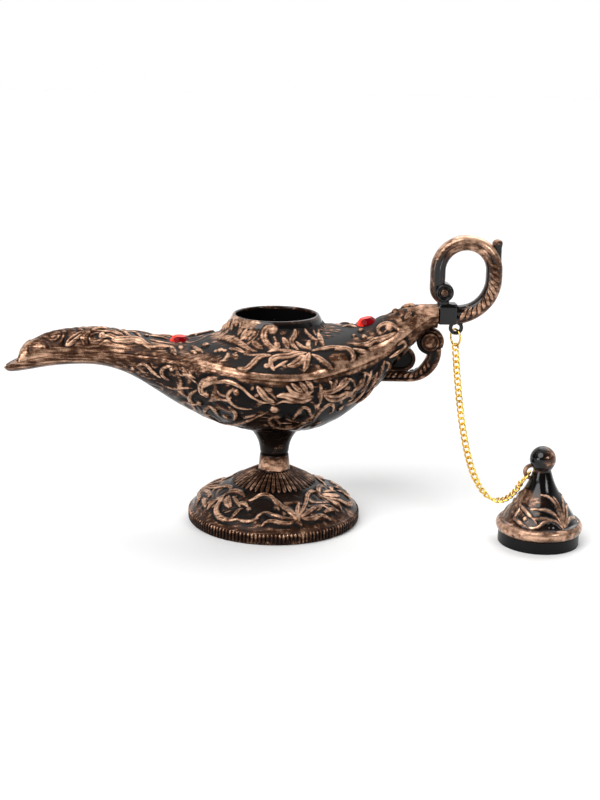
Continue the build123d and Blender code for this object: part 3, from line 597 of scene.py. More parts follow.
# %% Hull and deck
SEAM = 78.1
SEAM_GAP = 0.1
BEAM, SPOUT_HALF, TAIL_HALF = 38.0, 6.9, 5.4
NOSE, TAIL_END = -123.4, 77.0
TIP_HALF, TIP_LENGTH = 1.8, 7.0
FRONT_FLARE, REAR_FLARE, REAR_FULLNESS = 50.0, 47.0, 2.5
LINES = np.array([
    (-130.3, -4.9, -3.6, -3.6), (-128.9, -5.9, -2.9, -2.9), (-126.4, -6.3, -1.7, -1.7), (-123.4, -6.0, -0.6, 1.4),
    (-121.4, -5.7, -0.1, 5.4), (-118, -5.1, 0.6, 8.7), (-110, -3.6, 2.3, 12.5), (-97, -2.2, 4.1, 15.3),
    (-83, -2.6, 5.2, 15.9), (-70, -6.6, 5.4, 13.8), (-58, -13.5, 5.3, 11.5), (-46, -20.9, 4.8, 10.0),
    (-27, -28.8, 2.7, 13.6), (0, -33, 0, 17), (25, -28.7, 1.2, 18.2), (41, -18.4, 4.5, 19.4), (50, -8.7, 7.9, 22.8),
    (58, 1.4, 13.3, 26.8), (66, 10.4, 19.0, 29.2), (74, 18.7, 24.5, 29.7)])
FIRST_DECK = 3
HULL_ROWS, HULL_COLUMNS = 400, 236


def batten(stations, values, at):
    """Natural cubic through the stations, held level with its ends beyond them."""
    gap = np.diff(stations)
    count = len(stations)
    system, load = np.eye(count), np.zeros(count)
    for k in range(1, count - 1):
        system[k, k - 1:k + 2] = gap[k - 1], 2 * (gap[k - 1] + gap[k]), gap[k]
        load[k] = 6 * ((values[k + 1] - values[k]) / gap[k] - (values[k] - values[k - 1]) / gap[k - 1])
    bend = np.linalg.solve(system, load)
    at = np.clip(at, stations[0], stations[-1])
    k = np.clip(np.searchsorted(stations, at) - 1, 0, count - 2)
    left, right, wide = at - stations[k], stations[k + 1] - at, gap[k]
    return ((bend[k] * right**3 + bend[k + 1] * left**3) / (6 * wide)
            + (values[k] / wide - bend[k] * wide / 6) * right + (values[k + 1] / wide - bend[k + 1] * wide / 6) * left)


def half_width(x):
    """Half width of the body: a bell from the spout and the tail to the mouth, rounded at the tongue."""
    front = SPOUT_HALF + (BEAM - SPOUT_HALF) * np.exp(-((np.abs(x) / FRONT_FLARE) ** 2))
    rear = TAIL_HALF + (BEAM - TAIL_HALF) * np.exp(-((np.abs(x) / REAR_FLARE) ** REAR_FULLNESS))
    reach = np.clip((NOSE - x) / TIP_LENGTH, 0, 1)
    tongue = TIP_HALF + (SPOUT_HALF - TIP_HALF) * np.sqrt(1 - reach**2)
    return np.where(x < NOSE, tongue, np.where(x < 0, front, rear))


def keel_line(x):
    return SEAM + batten(LINES[:, 0], LINES[:, 1], x)


def seam_line(x):
    return SEAM + batten(LINES[:, 0], LINES[:, 2], x)


def deck_line(x):
    return SEAM + batten(LINES[FIRST_DECK:, 0], LINES[FIRST_DECK:, 3], x)


def half_shell(edge_line, start, end, rows, columns, wall=0.0, gap=0.0):
    """Grid of half ellipses from the seam to an edge line, or of the inside of that shell."""
    x = np.linspace(start, end, rows)[:, None]
    turn = np.linspace(0, math.pi, columns)[None]
    seam = seam_line(x) + gap
    depth = edge_line(x) - seam
    depth = depth - np.sign(depth.mean()) * wall
    y = -np.maximum(half_width(x) - wall, 0.2) * np.cos(turn)
    return np.stack([x + 0 * turn, y, seam + depth * np.sin(turn)], axis=2)


hull_grid = half_shell(keel_line, LINES[0, 0], TAIL_END, HULL_ROWS, HULL_COLUMNS)
print("hull grid", hull_grid.shape, "keel", round(float(hull_grid[..., 2].min()), 1), "mm above the floor")

# %% [markdown]
# ## Ornament of the hull
# Acanthus scrolls run along the hull from the root of the spout to the tail. On the real lamp both sides come out
# of a pair of mould halves with the same drawing, so the strokes of the near side are folded over to the far side.

# %% Drawing of the hull
HULL_STROKES = (
    (1.4, 2.2, (172, 370), (169, 366.5), (164, 368), (162, 372.5), (165, 377), (169, 379.5)),
    (1.4, 2.0, (137, 366), (142, 363.5), (147, 365), (153, 371), (160, 377)),
    (1.6, 1.2, (180, 375), (187, 374.5), (192, 378.5), (198, 384)),
    (1.6, 1.2, (186, 374), (191, 375), (195, 378)),
    (1.2, 1.2, (165, 386), (175, 388.5), (185, 387.5), (192, 388)),
    (3.5, 2.0, (207, 394.5), (202.5, 392), (201.5, 387), (204, 382), (210, 378.5), (217, 377)),
    (2.2, 1.2, (204, 387), (210, 383), (218, 381.5), (227, 381.5), (236, 384), (244, 389), (251, 396), (258, 400),
     (265, 402)),
    (1.6, 2.0, (197, 390), (192, 393), (190, 398), (192, 403), (197, 404)),
    (1.5, 1.5, (217, 390), (221, 394), (226, 396)),
    (1.6, 1.6, (210, 400), (216, 397), (219, 396)),
    (1.4, 1.4, (209, 401), (218, 399), (228, 400), (231, 397)),
    (2.0, 1.2, (237, 391), (233, 389.5), (229, 393), (228.5, 398), (231, 402), (236, 406), (243, 408.5), (252, 409)),
    (2.0, 1.6, (215, 408), (210, 406), (205.5, 409.5), (206, 413), (211, 415)),
    (2.2, 1.4, (229, 406.5), (234, 410), (236, 414), (234.5, 420)),
    (1.6, 1.6, (205, 414), (214, 419), (225, 423), (237, 423.5), (248, 420.5), (258, 416), (268, 411.5)),
    (1.2, 1.2, (223, 415), (228, 418)),
    (1.4, 1.4, (244, 418), (250, 416), (256, 414)),
    (3.5, 2.4, (258, 387), (262, 392), (267, 398), (273, 400.5)),
    (1.2, 1.2, (255, 399), (262, 402), (270, 402), (275, 402)),
    (3.0, 4.6, (278, 396), (285, 395), (292, 397), (302, 399), (311, 396.5)),
    (1.4, 1.4, (276, 404), (283, 401), (292, 402), (303, 402)),
    (2.0, 2.0, (287, 386), (291, 391), (298, 394), (306, 394), (313, 390.5)),
    (2.2, 2.2, (292, 384), (297, 388), (302, 391.5)),
    (2.2, 2.2, (300, 382.5), (304, 387), (307, 392)),
    (2.0, 2.0, (306, 381.5), (310, 385), (312, 390)),
    (2.0, 1.6, (277, 415), (272, 417), (269.5, 420), (273, 425), (281, 427.5), (292, 427), (300, 424), (304, 421.5)),
    (1.0, 1.0, (277, 423), (284, 422.5), (292, 423)),
    (2.0, 1.4, (293, 419), (297, 413), (300, 409), (304, 406.5), (308, 408.5), (310, 414), (310.5, 421)),
    (2.4, 1.0, (320, 385), (321, 392), (320, 400), (317, 409)),
    (1.8, 1.8, (314, 419), (319, 412), (325, 406), (330, 403.5), (333, 406), (332, 411), (329.5, 413)),
    (1.6, 1.6, (338, 411), (340, 407), (343, 405)),
    (1.4, 1.4, (315, 423), (321, 421)),
    (3.6, 4.5, (324, 394.5), (330, 397.5), (338, 397), (345, 394), (351, 393)),
    (2.0, 1.6, (345, 394), (350, 394), (351.5, 398), (348, 401)),
    (2.4, 3.0, (321, 391), (327, 391.5), (334, 389.5), (341, 385.5), (348, 381)),
    (1.8, 1.8, (330, 381.5), (332, 385), (331, 389)),
    (1.8, 1.8, (337, 379), (335, 383), (332, 388)),
    (2.2, 2.2, (346, 378), (341, 382), (338, 386)),
    (1.8, 1.8, (352, 392), (357, 386), (361, 379)),
    (1.8, 1.8, (356, 391), (361, 384), (365, 374)),
    (1.8, 1.8, (362, 390), (368, 380), (371, 371)),
    (2.0, 2.0, (366, 392), (372, 383), (377, 372)),
    (2.2, 2.2, (371, 389), (377, 380), (381, 369), (384, 361)),
    (1.8, 1.8, (385, 361), (388, 364), (386, 371)),
    (2.6, 2.0, (350, 403), (357, 397), (364, 391)),
    (3.0, 2.2, (357, 402), (366, 394), (374, 386)),
    (2.0, 2.0, (371, 384), (377, 378), (381, 373)),
    (1.6, 1.6, (398, 345), (403, 341.5), (405, 345), (403, 350)),
    (2.0, 2.0, (390, 357), (397, 352), (404, 347)),
)
HULL_BEADS = (
    (1.2, 172, 369), (1.0, 133, 368), (1.8, 207, 394), (1.5, 200, 402.5), (1.8, 237, 392), (1.8, 215, 408.5),
    (2.2, 274.5, 409), (1.9, 277, 416), (1.6, 303, 421.5), (1.4, 299, 411.5), (1.4, 340, 407),
)


def near_side(points):
    """Points of the far side folded over to the near side."""
    return points * [1, 0, 1] - np.abs(points) * [0, 1, 0]


hull_relief = Relief(hull_grid, near_side)
hull_relief.draw(HULL_STROKES, HULL_BEADS)
print("hull ornament covers", round(100 * float((hull_relief.height > 0).mean())), "% of the hull")

# %% [markdown]
# Where nothing is carved, the hull shows bare streaked paste along the spout and under the seam, and black in between.
# The seam itself is a fine step between two mouldings, so the grid draws in a little at its edges.

# %% The hull as a piece
SEAM_STEP = 0.22
# The valleys' darkening is partly less paste and partly painted shade.
IN_VALLEYS = 0.2  # share of the paste that reaches the valleys
HULL_PASTE = {"spout": 0.58, "band": 0.60, "front": 0.50, "tail": 0.58}
HULL_BARE, HULL_BARE_FRONT = 0.14, 0.20
HULL_VEINS, HULL_SEED = 0.42, 11


def edge_draw(columns, reach=3):
    """Inward step at both edges of a grid."""
    from_edge = np.minimum(np.arange(columns), np.arange(columns)[::-1])
    return -SEAM_STEP * np.clip(1 - from_edge / reach, 0, 1)


hull_x = hull_grid[..., 0]
below = seam_line(hull_x) - hull_grid[..., 2]
spout = 1 - ramp(hull_x, -82, -40)
band = 1 - ramp(below, 1.5, 4.5)
hull_relief.fill((1 - spout) * ramp(below, 1.5, 4.0), HULL_VEINS, HULL_SEED)
crests, valley_shade = hull_relief.rubbed()
front = (1 - ramp(below, 4, 14)) * (1 - ramp(hull_x, -40, -5))
zones = {"spout": spout, "band": band, "front": front, "tail": ramp(hull_x, 54, 62)}
bare = HULL_BARE + HULL_BARE_FRONT * (1 - ramp(hull_x, -30, 8))
smear = np.maximum.reduce([bare] + [HULL_PASTE[name] * zone for name, zone in zones.items()])
# Darker in the valleys beside the relief: partly less paste, partly painted shade.
hull_rub = np.maximum(crests, smear * (1 - (1 - IN_VALLEYS) * valley_shade))
height = hull_relief.height.reshape(hull_grid.shape[:2])
hull_relief.height = (height + edge_draw(HULL_COLUMNS)).ravel()
piece("hull_carved", sheet(hull_relief.raised(), hull_rub), bronze, "root", "lower_shell")

# %% [markdown]
# Inside, the shell has a wall, and its cut edge shows where the deck doesn't cover it. The tongue of the spout is a
# shallow channel.

# %% Lining of the hull
WALL = 2.0
INNER_ROWS, INNER_COLUMNS, LINING_MATT = 150, 60, 0.7
TONGUE_ROWS, TONGUE_COLUMNS, TONGUE_DIP = 30, 21, 0.9
inside = half_shell(keel_line, NOSE, TAIL_END, INNER_ROWS, INNER_COLUMNS, WALL)
outside = half_shell(keel_line, NOSE, TAIL_END, INNER_ROWS, 3)
rims = [np.stack([outside[:, edge], inside[:, edge]], axis=1) for edge in (0, -1)]
tongue = half_shell(keel_line, LINES[0, 0], NOSE, TONGUE_ROWS, 3)
across = np.linspace(0, 1, TONGUE_COLUMNS)[None, :, None]
channel = tongue[:, [0]] + (tongue[:, [-1]] - tongue[:, [0]]) * across
channel[..., 2] -= TONGUE_DIP * np.sin(math.pi * across[..., 0])
lining = joined(sheet(inside, 0.0, LINING_MATT), *(sheet(rim, 0.4) for rim in rims), sheet(channel, 0.62))
piece("hull_lining", lining, bronze, "root", "lower_shell")

# %% [markdown]
# ## Stem
# The stem is turned: it leaves the foot's collar, draws in and flares into the keel. It is the same moulding as the
# hull, but a turned grid follows it better than the hull's own lines would.

# %% Turned pieces
def turned_grid(profile, columns, centre=(0.0, 0.0)):
    """Grid of revolution of (radius, height) points about an upright axis."""
    profile = np.asarray(profile, float)
    angle = np.linspace(0, 2 * math.pi, columns, endpoint=False)[None]
    radius, height = profile[:, :1], profile[:, 1:]
    return np.stack([centre[0] + radius * np.cos(angle), centre[1] + radius * np.sin(angle),
                     height + 0 * angle], axis=2)


stem_profile = smooth_line([(6.5, 33.3), (6.9, 33.9), (7.1, 35.2), (7.5, 37.6), (8.3, 40.0), (9.6, 42.5), (12.0, 45.6),
                            (15.0, 47.9), (19.0, 49.4)], 0.35)
stem_grid = turned_grid(stem_profile, 120)
stem_rub = 0.27 - 0.08 * ramp(stem_grid[..., 2], 41, 46)
piece("stem", sheet(stem_grid, stem_rub, 0, closed=True), bronze, "root", "lower_shell")

# %% [markdown]
# ## Deck and mouth
# The deck rises from the seam and runs up to the collar of the mouth. The collar is turned and the deck isn't, so the
# grid of the deck is lifted to the collar near the mouth, cut out under its lip, and the lip is a turned piece on top.

# %% Deck lifted to the collar
MOUTH_TOP = 102.1
MOUTH_RADIUS = 19.3
COLLAR_TOP, COLLAR_RUN, COLLAR_DROP, COLLAR_SAG = 20.4, 10.6, 15.4, 1.36
LIP_CUT = 21.4
LIFT_EASE = 0.8
DECK_ROWS, DECK_COLUMNS = 400, 200


def collar_height(radius):
    """Height of the collar's hollow flank at a distance from the axis of the mouth."""
    part = (radius - COLLAR_TOP) / COLLAR_RUN
    return MOUTH_TOP - COLLAR_DROP * part - 4 * COLLAR_SAG * part * (1 - part)


deck_grid = half_shell(deck_line, NOSE, TAIL_END, DECK_ROWS, DECK_COLUMNS, gap=SEAM_GAP)
radius = np.hypot(deck_grid[..., 0], deck_grid[..., 1])
lift = np.where(radius < COLLAR_TOP + COLLAR_RUN + 4, collar_height(radius), 0.0)
deck_grid[..., 2] += LIFT_EASE * np.logaddexp(0, np.clip((lift - deck_grid[..., 2]) / LIFT_EASE, -60, 60))
print("deck grid", deck_grid.shape, "top", round(float(deck_grid[..., 2][radius > LIP_CUT].max()), 1), "mm")

# %% [markdown]
# The deck's drawing is denser than the hull's: leaves round the mouth, buds along the spout's hood and tendrils back
# to the tail. What lies well on the near side is repeated on the far side; what crosses the ridge is drawn once.

# %% Drawing of the deck
DECK_STROKES = (
    (3.0, 2.2, (67, 345), (72, 340), (78, 336), (84, 332.5)),
    (1.6, 1.6, (84, 344), (83, 338), (86, 333), (89, 331)),
    (1.4, 1.4, (87, 343), (86, 338), (88, 334), (90, 331.5)),
    (2.0, 2.0, (103, 337), (110, 336), (117, 339), (124, 339.5), (132, 339), (140, 340.5), (146, 344.5), (155, 348)),
    (1.4, 1.4, (112, 340), (118, 341.5), (126, 342), (135, 341.5), (142, 344), (150, 349)),
    (1.4, 1.4, (92, 330), (100, 328.5), (108, 329)),
    (1.4, 1.4, (103, 331), (112, 332), (120, 335), (127, 339)),
    (1.2, 1.2, (118, 331), (124, 332.5), (129, 336), (133, 339)),
    (1.2, 1.2, (128, 331.5), (136, 333.5), (142, 339)),
    (1.5, 1.5, (150, 336), (160, 338), (168, 340)),
    (2.0, 2.0, (150, 347), (158, 347), (165, 347.5), (171, 347)),
    (1.0, 1.0, (150, 340), (160, 342.5), (168, 343.5)),
    (1.8, 1.8, (171.5, 347), (173, 351), (176, 355)),
    (1.5, 1.5, (180, 346), (181.5, 349.5)),
    (1.6, 1.6, (192, 346), (197, 350), (203, 352.5)),
    (1.2, 1.2, (191, 351), (196, 353.5)),
    (3.0, 1.5, (220, 339), (228, 339), (236, 342), (243, 346), (250, 350), (257, 352)),
    (1.8, 1.8, (230, 349), (237, 350.5), (244, 353)),
    (1.4, 1.4, (233, 355), (238, 356.5)),
    (2.4, 2.4, (187, 337), (195, 335), (203, 334), (212, 331)),
    (2.0, 2.0, (221, 329), (227, 326), (232, 321)),
    (1.6, 1.4, (232, 330), (233, 325.5), (237, 322), (241, 324), (240, 327)),
    (2.0, 2.0, (242, 340), (245, 335), (247, 330)),
    (2.4, 2.4, (253, 342), (257, 346), (262, 349)),
    (3.0, 1.5, (272, 333), (275, 331), (273, 328), (268, 328.5), (264.5, 333), (265, 340), (269, 346), (276, 350),
     (285, 352.5)),
    (2.0, 2.0, (276, 343), (279, 348)),
    (2.4, 2.0, (283, 339), (286, 344), (288, 349)),
    (2.0, 1.6, (295, 330), (294, 336), (291, 341), (293, 346), (298, 350)),
    (1.4, 1.4, (296, 342), (301, 347), (308, 350)),
    (1.4, 1.4, (304.5, 329), (307, 334), (312, 338.5), (316, 342), (315, 347)),
    (1.8, 1.8, (309, 341), (308, 346), (310, 350)),
    (2.0, 2.0, (318, 334), (320, 340), (323, 346)),
    (1.4, 1.4, (306, 353), (298, 353), (288, 351.5), (278, 351), (268, 352)),
    (1.6, 1.6, (312, 351), (322, 349.5), (332, 348), (345, 347.5)),
    (3.0, 2.0, (303, 354), (296, 355), (288, 357), (279, 357.5), (272, 360), (271, 365), (274, 370)),
    (3.4, 2.4, (303, 357), (299, 362), (293, 365.5), (288, 366)),
    (1.0, 1.0, (275, 368), (282, 364), (288, 361)),
    (2.4, 2.0, (309, 354), (307, 360), (306, 366), (304, 371)),
    (1.8, 1.8, (312, 355), (319, 359), (326, 364), (332, 369)),
    (2.4, 1.8, (270, 356), (260, 358), (252, 365), (246, 369), (238, 368)),
    (1.0, 1.0, (247, 355), (256, 355.5), (266, 354)),
    (1.6, 1.6, (352, 344), (360, 345), (368, 344), (373, 341), (380, 339), (388, 336), (395, 333)),
    (1.6, 1.6, (381, 334), (378, 330), (381, 326), (387, 324), (394, 326), (398, 330)),
    (2.0, 2.0, (402, 307), (408, 305), (414, 306)),
    (1.8, 1.8, (405, 319), (408, 316), (411, 313)),
    (1.8, 1.8, (340, 322), (346, 321), (350, 324)),
    (1.4, 1.4, (343, 327), (350, 326.5), (356, 327)),
    (1.8, 1.8, (335, 350), (345, 349), (351, 352), (353, 357), (351, 361)),
    (1.2, 1.2, (353, 349), (360, 351), (368, 352)),
)
DECK_BEADS = (
    (1.6, 102, 335.5), (1.2, 146.5, 336), (0.8, 124, 330), (0.8, 117, 330), (2.0, 205.5, 346), (1.5, 221, 351),
    (1.1, 216, 352), (1.1, 225, 351.5), (1.6, 211, 332), (1.4, 237.5, 324), (1.8, 272, 331.5), (1.4, 266.5, 366.5),
    (1.6, 389, 328), (1.4, 361, 331), (1.2, 364, 337), (1.0, 354, 336), (1.4, 395, 311), (1.4, 401, 312),
)
MIRROR_FROM = 5.0
DECK_LEAF = 1.28  # the deck's leaves are broader than the hull's strokes
deck_relief = Relief(deck_grid)
deck_relief.draw([(DECK_LEAF * start, DECK_LEAF * end, *line) for start, end, *line in DECK_STROKES], DECK_BEADS,
                 MIRROR_FROM)
print("deck ornament covers", round(100 * float((deck_relief.height > 0).mean())), "% of the deck")

# %% [markdown]
# Paste lies thickest on the band above the seam and on the hood's lip; on the collar's left side, where the key lamp
# falls, bright paste is partly a painted highlight. The stippled ground between the leaves stays dull, and the opening
# under the lip is left out of the grid.

# %% The deck as a piece
BAND_RISE, HOOD_LIP_RISE = 0.35, 0.56
DECK_PASTE = {"hood": 0.62, "band": 0.96, "collar": 0.30, "tail": 0.76, "hood_lip": 0.85, "leaves": 0.68,
              "lit_side": 1.0, "front": 0.54}
DECK_BARE = 0.20
DECK_VEINS, DECK_SEED = 0.40, 5


def kept_faces(whole, kept):
    """The sheet with only the faces that pass a test, and the points that they use."""
    points, faces, rub, matt = whole
    faces = [face for face in faces if kept(face)]
    used = np.unique(faces)
    renumber = np.full(len(points), -1)
    renumber[used] = np.arange(len(used))
    return points[used], renumber[np.array(faces)].tolist(), rub[used], matt[used]


deck_x = deck_grid[..., 0]
above = deck_grid[..., 2] - seam_line(deck_x)
band_top = 3.0 + 4.5 * ramp(deck_x, 8, 46)
hood = 1 - ramp(deck_x, -78, -48)
band = (1 - ramp(above / band_top, 0.85, 1.2)) * span(deck_x, -60, -20, 62, 73)
collar = span(radius, LIP_CUT, LIP_CUT + 2, 30, 36)
hood_lip = span(deck_x, -123, -121.8, -118.2, -117)
zones = {
    "hood": hood, "band": band, "collar": collar, "hood_lip": hood_lip, "tail": ramp(deck_x, 46, 58),
    "leaves": span(deck_x, 2, 22, 60, 70) * (1 - ramp(above / band_top, 1.4, 2.2)),
    # Bright paste on the collar's left side, where the key lamp falls: partly paste, partly a painted highlight.
    "lit_side": collar * ramp(-deck_x, 3, 13) * ramp(deck_grid[..., 2], 88, 93),
    "front": (1 - ramp(above, 4, 9)) * (1 - ramp(deck_x, -32, 0)),
}
deck_relief.fill((1 - band) * np.maximum(collar, span(above, 3.0, 5.0, 9, 14)), DECK_VEINS, DECK_SEED)
crests, valley_shade = deck_relief.rubbed()
smear = np.maximum.reduce([DECK_PASTE[name] * zone for name, zone in zones.items()])
# Darker in the valleys beside the leaves: partly less paste, partly painted shade.
deck_rub = np.maximum(crests, np.maximum(smear, DECK_BARE) * (1 - (1 - IN_VALLEYS) * valley_shade))
deck_matt = (1 - hood) * (1 - band)
height = deck_relief.height.reshape(deck_grid.shape[:2])
height = np.maximum.reduce([height, BAND_RISE * band, HOOD_LIP_RISE * hood_lip])
deck_relief.height = (height + edge_draw(DECK_COLUMNS)).ravel()
open_to_mouth = (radius < LIP_CUT).ravel()
deck_sheet = kept_faces(sheet(deck_relief.raised(), deck_rub, deck_matt), lambda face: not open_to_mouth[face].all())
piece("deck_carved", deck_sheet, bronze, "root", "upper_shell")

# %% [markdown]
# The underside of the deck shows at the end of the spout and through the mouth, so it has a wall too, open below the
# mouth.

# %% Lining of the deck
UNDER_COLUMNS, UNDER_INSET = 50, 0.4
under = half_shell(deck_line, NOSE + UNDER_INSET, TAIL_END, INNER_ROWS, UNDER_COLUMNS, WALL, SEAM_GAP)
hidden = (np.hypot(under[..., 0], under[..., 1]) < MOUTH_RADIUS + WALL).ravel()
under_sheet = kept_faces(sheet(under, 0.0, LINING_MATT), lambda face: not hidden[face].any())
nose = half_shell(deck_line, NOSE, TAIL_END, 2, UNDER_COLUMNS, 0, SEAM_GAP)[0]
under_sheet = joined(under_sheet, sheet(np.stack([nose, under[0]], axis=1), 0.5))
piece("deck_lining", under_sheet, bronze, "root", "upper_shell")

# %% [markdown]
# The lip is a thin rolled edge, glossy black inside where the lid's plug slides, with a trace of paste on its crest
# and, on its outer left side where the key lamp falls, bright paste that is partly a painted highlight.

# %% The mouth's lip
SKIRT_BASE = 89.1
LIP_CREST, LIP_MIDDLE = 100.6, 20.4
LIP_RUB, SKIRT_RUB, LIP_LIT_HIGHLIGHT = 0.34, 0.05, 0.9
lip_profile = smooth_line([(22.6, 98.0), (21.7, 100.0), (21.0, 101.3), (20.5, 101.95), (20.0, 102.1), (19.5, 101.95),
                           (19.3, 101.4), (19.3, 99.0), (19.3, 94.0), (19.3, SKIRT_BASE)], 0.4)
lip_profile = np.vstack([lip_profile, [(20.4, 88.9), (21.3, SKIRT_BASE), (21.3, 97.5)]])
lip_grid = turned_grid(lip_profile, 180)
lip_rub = np.where(lip_grid[..., 2] > LIP_CREST, LIP_RUB, SKIRT_RUB)
lip_out = np.hypot(lip_grid[..., 0], lip_grid[..., 1]) > LIP_MIDDLE
# Bright paste on the lip's outer left side, where the key lamp falls: partly paste, partly a painted highlight.
lip_rub = np.maximum(lip_rub, LIP_LIT_HIGHLIGHT * lip_out * ramp(-lip_grid[..., 0], 5, 14))
piece("mouth_lip", sheet(lip_grid, lip_rub, 0, closed=True), lacquered, "root", "upper_shell")

# %% [markdown]
# ## Stones
# The stones are stock flat-backed rhinestones: a table, eight kites and sixteen girdle facets over a foil. Each facet
# carries a painted highlight, brighter or darker by where it faces, and the stones glow a little as painted light.

# %% Facetted stones
PAINTED_GLINT_FROM, PAINTED_GLINT_TURNS = np.array([0.55, -0.6, 0.2]), 5.0
STONE_RADIUS = 5.0
STONES = {"front_gem": (-46.0, 3.0), "rear_gem": (43.5, -12.0)}  # place along the lamp, pitch in degrees


def cut_stone(centre, pitch, radius=STONE_RADIUS, table=3.0, girdle=0.9, crown=2.2):
    """Facets of a round stone at a place on the deck, tilted by a pitch in degrees."""
    def ring(count, at, height, shift=0.0):
        angle = (np.arange(count) + shift) * 2 * math.pi / count
        return np.stack([at * np.cos(angle), at * np.sin(angle), np.full(count, height)], axis=1)

    rings = [ring(16, radius * 0.98, 0.0), ring(16, radius, girdle * 0.6),
             ring(8, radius * 0.80, girdle + crown * 0.55), ring(8, table, girdle + crown, 0.5)]
    facets = []
    for k in range(16):
        facets.append([rings[0][k], rings[0][(k + 1) % 16], rings[1][(k + 1) % 16], rings[1][k]])
    for k in range(8):
        low, peak, after = rings[1], rings[2][k], rings[2][(k + 1) % 8]
        facets.append([low[2 * k], low[2 * k + 1], peak])
        facets.append([low[2 * k - 1], low[2 * k], peak])
        facets.append([low[2 * k + 1], after, peak])
        facets.append([peak, after, rings[3][k]])
        facets.append([peak, rings[3][k], rings[3][k - 1]])
    facets.append(list(rings[3]))
    tilt = np.array(Matrix.Rotation(math.radians(pitch), 3, "Y"))
    points, faces, painted_glint = [], [], []
    for facet in facets:
        faces.append(list(range(len(points), len(points) + len(facet))))
        points += [tilt @ corner + centre for corner in facet]
        across = np.cross(facet[1] - facet[0], facet[2] - facet[0])
        across *= np.sign(across[2] or 1) / np.linalg.norm(across)
        # Painted highlight: each facet is brighter or darker by where it faces.
        painted_glint += [0.5 + 0.5 * math.cos(PAINTED_GLINT_TURNS * float(across @ PAINTED_GLINT_FROM))] * len(facet)
    return np.array(points), faces, np.array(painted_glint), np.zeros(len(points))


for node, (x, pitch) in STONES.items():
    low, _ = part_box(node)
    seat = np.array([x, 0.0, low.z / MM + abs(math.sin(math.radians(pitch))) * STONE_RADIUS])
    piece(node + "_cut", cut_stone(seat, pitch), stone, "root", node, slot="red_stone", smooth=False)

# %% [markdown]
# ## Repeats by Geometry Nodes
# Reeds, ribs, leaves and links are one small form said many times. Two trees say it: one turns copies about an upright
# axis, the other sets copies on points, each aimed along a direction with its face towards another. The result is
# settled into a plain mesh, so nothing depends on the modifier afterwards.

# %% Two trees
def new_tree(name, *inputs):
    """Empty tree with a geometry input, the named inputs and one result, and the flows out of its inputs."""
    tree = bpy.data.node_groups.new(name, "GeometryNodeTree")
    tree.interface.new_socket("Geometry", in_out="INPUT", socket_type="NodeSocketGeometry")
    for label, kind in inputs:
        tree.interface.new_socket(label, in_out="INPUT", socket_type=kind)
    tree.interface.new_socket("Result", in_out="OUTPUT", socket_type="NodeSocketGeometry")
    source = tree.nodes.new("NodeGroupInput")
    return tree, {socket.name: Flow(socket) for socket in source.outputs if socket.name}


def close_tree(tree, copies, finish):
    """Realizes the copies, sets their finish and ends the tree."""
    solid = copies.through("GeometryNodeRealizeInstances", {}, {"Geometry": copies})
    done = solid.through("GeometryNodeSetMaterial", {}, {"Geometry": solid, "Material": finish})
    sink = tree.nodes.new("NodeGroupOutput")
    tree.links.new(done.socket, sink.inputs["Result"])


def turning_tree():
    tree, given = new_tree("turn_about_axis", ("Count", "NodeSocketInt"), ("Form", "NodeSocketObject"),
                           ("Finish", "NodeSocketMaterial"))
    points = grown(tree, "GeometryNodeMeshLine", {}, {"Count": given["Count"], "Offset": (0, 0, 0)})
    form = grown(tree, "GeometryNodeObjectInfo", {}, {"Object": given["Form"]}, output="Geometry")
    angle = grown(tree, "GeometryNodeInputIndex", {}, {}) * (2 * math.pi) / given["Count"]
    spin = grown(tree, "ShaderNodeCombineXYZ", {}, {"Z": angle})
    copies = grown(tree, "GeometryNodeInstanceOnPoints", {}, {"Points": points, "Instance": form, "Rotation": spin})
    close_tree(tree, copies, given["Finish"])
    return tree


def setting_tree():
    tree, given = new_tree("set_on_points", ("Form", "NodeSocketObject"), ("Finish", "NodeSocketMaterial"))
    form = grown(tree, "GeometryNodeObjectInfo", {}, {"Object": given["Form"]}, output="Geometry")
    named = {"data_type": "FLOAT_VECTOR"}
    aim = grown(tree, "GeometryNodeInputNamedAttribute", named, {"Name": "aim"})
    face = grown(tree, "GeometryNodeInputNamedAttribute", named, {"Name": "face"})
    along = grown(tree, "FunctionNodeAlignRotationToVector", {"axis": "X"}, {"Vector": aim})
    turned = grown(tree, "FunctionNodeAlignRotationToVector", {"axis": "Z", "pivot_axis": "X"},
                   {"Rotation": along, "Vector": face})
    copies = grown(tree, "GeometryNodeInstanceOnPoints", {},
                   {"Points": given["Geometry"], "Instance": form, "Rotation": turned})
    close_tree(tree, copies, given["Finish"])
    return tree


def settled(name, carrier, tree, form, finish, **values):
    """Runs a tree on a carrier mesh and gives its result as a plain mesh."""
    pattern, holder = placed(name + "_form", form), placed(name + "_carrier", carrier)
    modifier = holder.modifiers.new("repeat", "NODES")
    modifier.node_group = tree
    values.update(Form=pattern, Finish=finish)
    for socket in tree.interface.items_tree:
        if socket.name in values:
            modifier[socket.identifier] = values[socket.name]
    bpy.context.view_layer.update()
    ready = holder.evaluated_get(bpy.context.evaluated_depsgraph_get())
    mesh = bpy.data.meshes.new_from_object(ready)
    mesh.name = name
    holder.modifiers.remove(modifier)
    for obj in (pattern, holder):
        bpy.data.objects.remove(obj)
    return mesh


def points_mesh(places, aims, faces):
    """Carrier of points in millimetres with the directions that setting_tree reads."""
    mesh = bpy.data.meshes.new("carrier")
    mesh.from_pydata((np.asarray(places) * MM).tolist(), [], [])
    for key, values in (("aim", aims), ("face", faces)):
        layer = mesh.attributes.new(key, "FLOAT_VECTOR", "POINT")
        layer.data.foreach_set("vector", np.asarray(values, np.float32).ravel())
    return mesh


turn_about_axis = turning_tree()
set_on_points = setting_tree()
print("trees:", turn_about_axis.name, len(turn_about_axis.nodes), set_on_points.name, len(set_on_points.nodes))

# %% [markdown]
# ## Foot
# The foot is a turned dome with a drawing of buds and tendrils that comes round three times, a cone of fine ribs
# above it, and a reeded rim like the edge of a coin. Only the drawn part of the dome needs a dense grid.

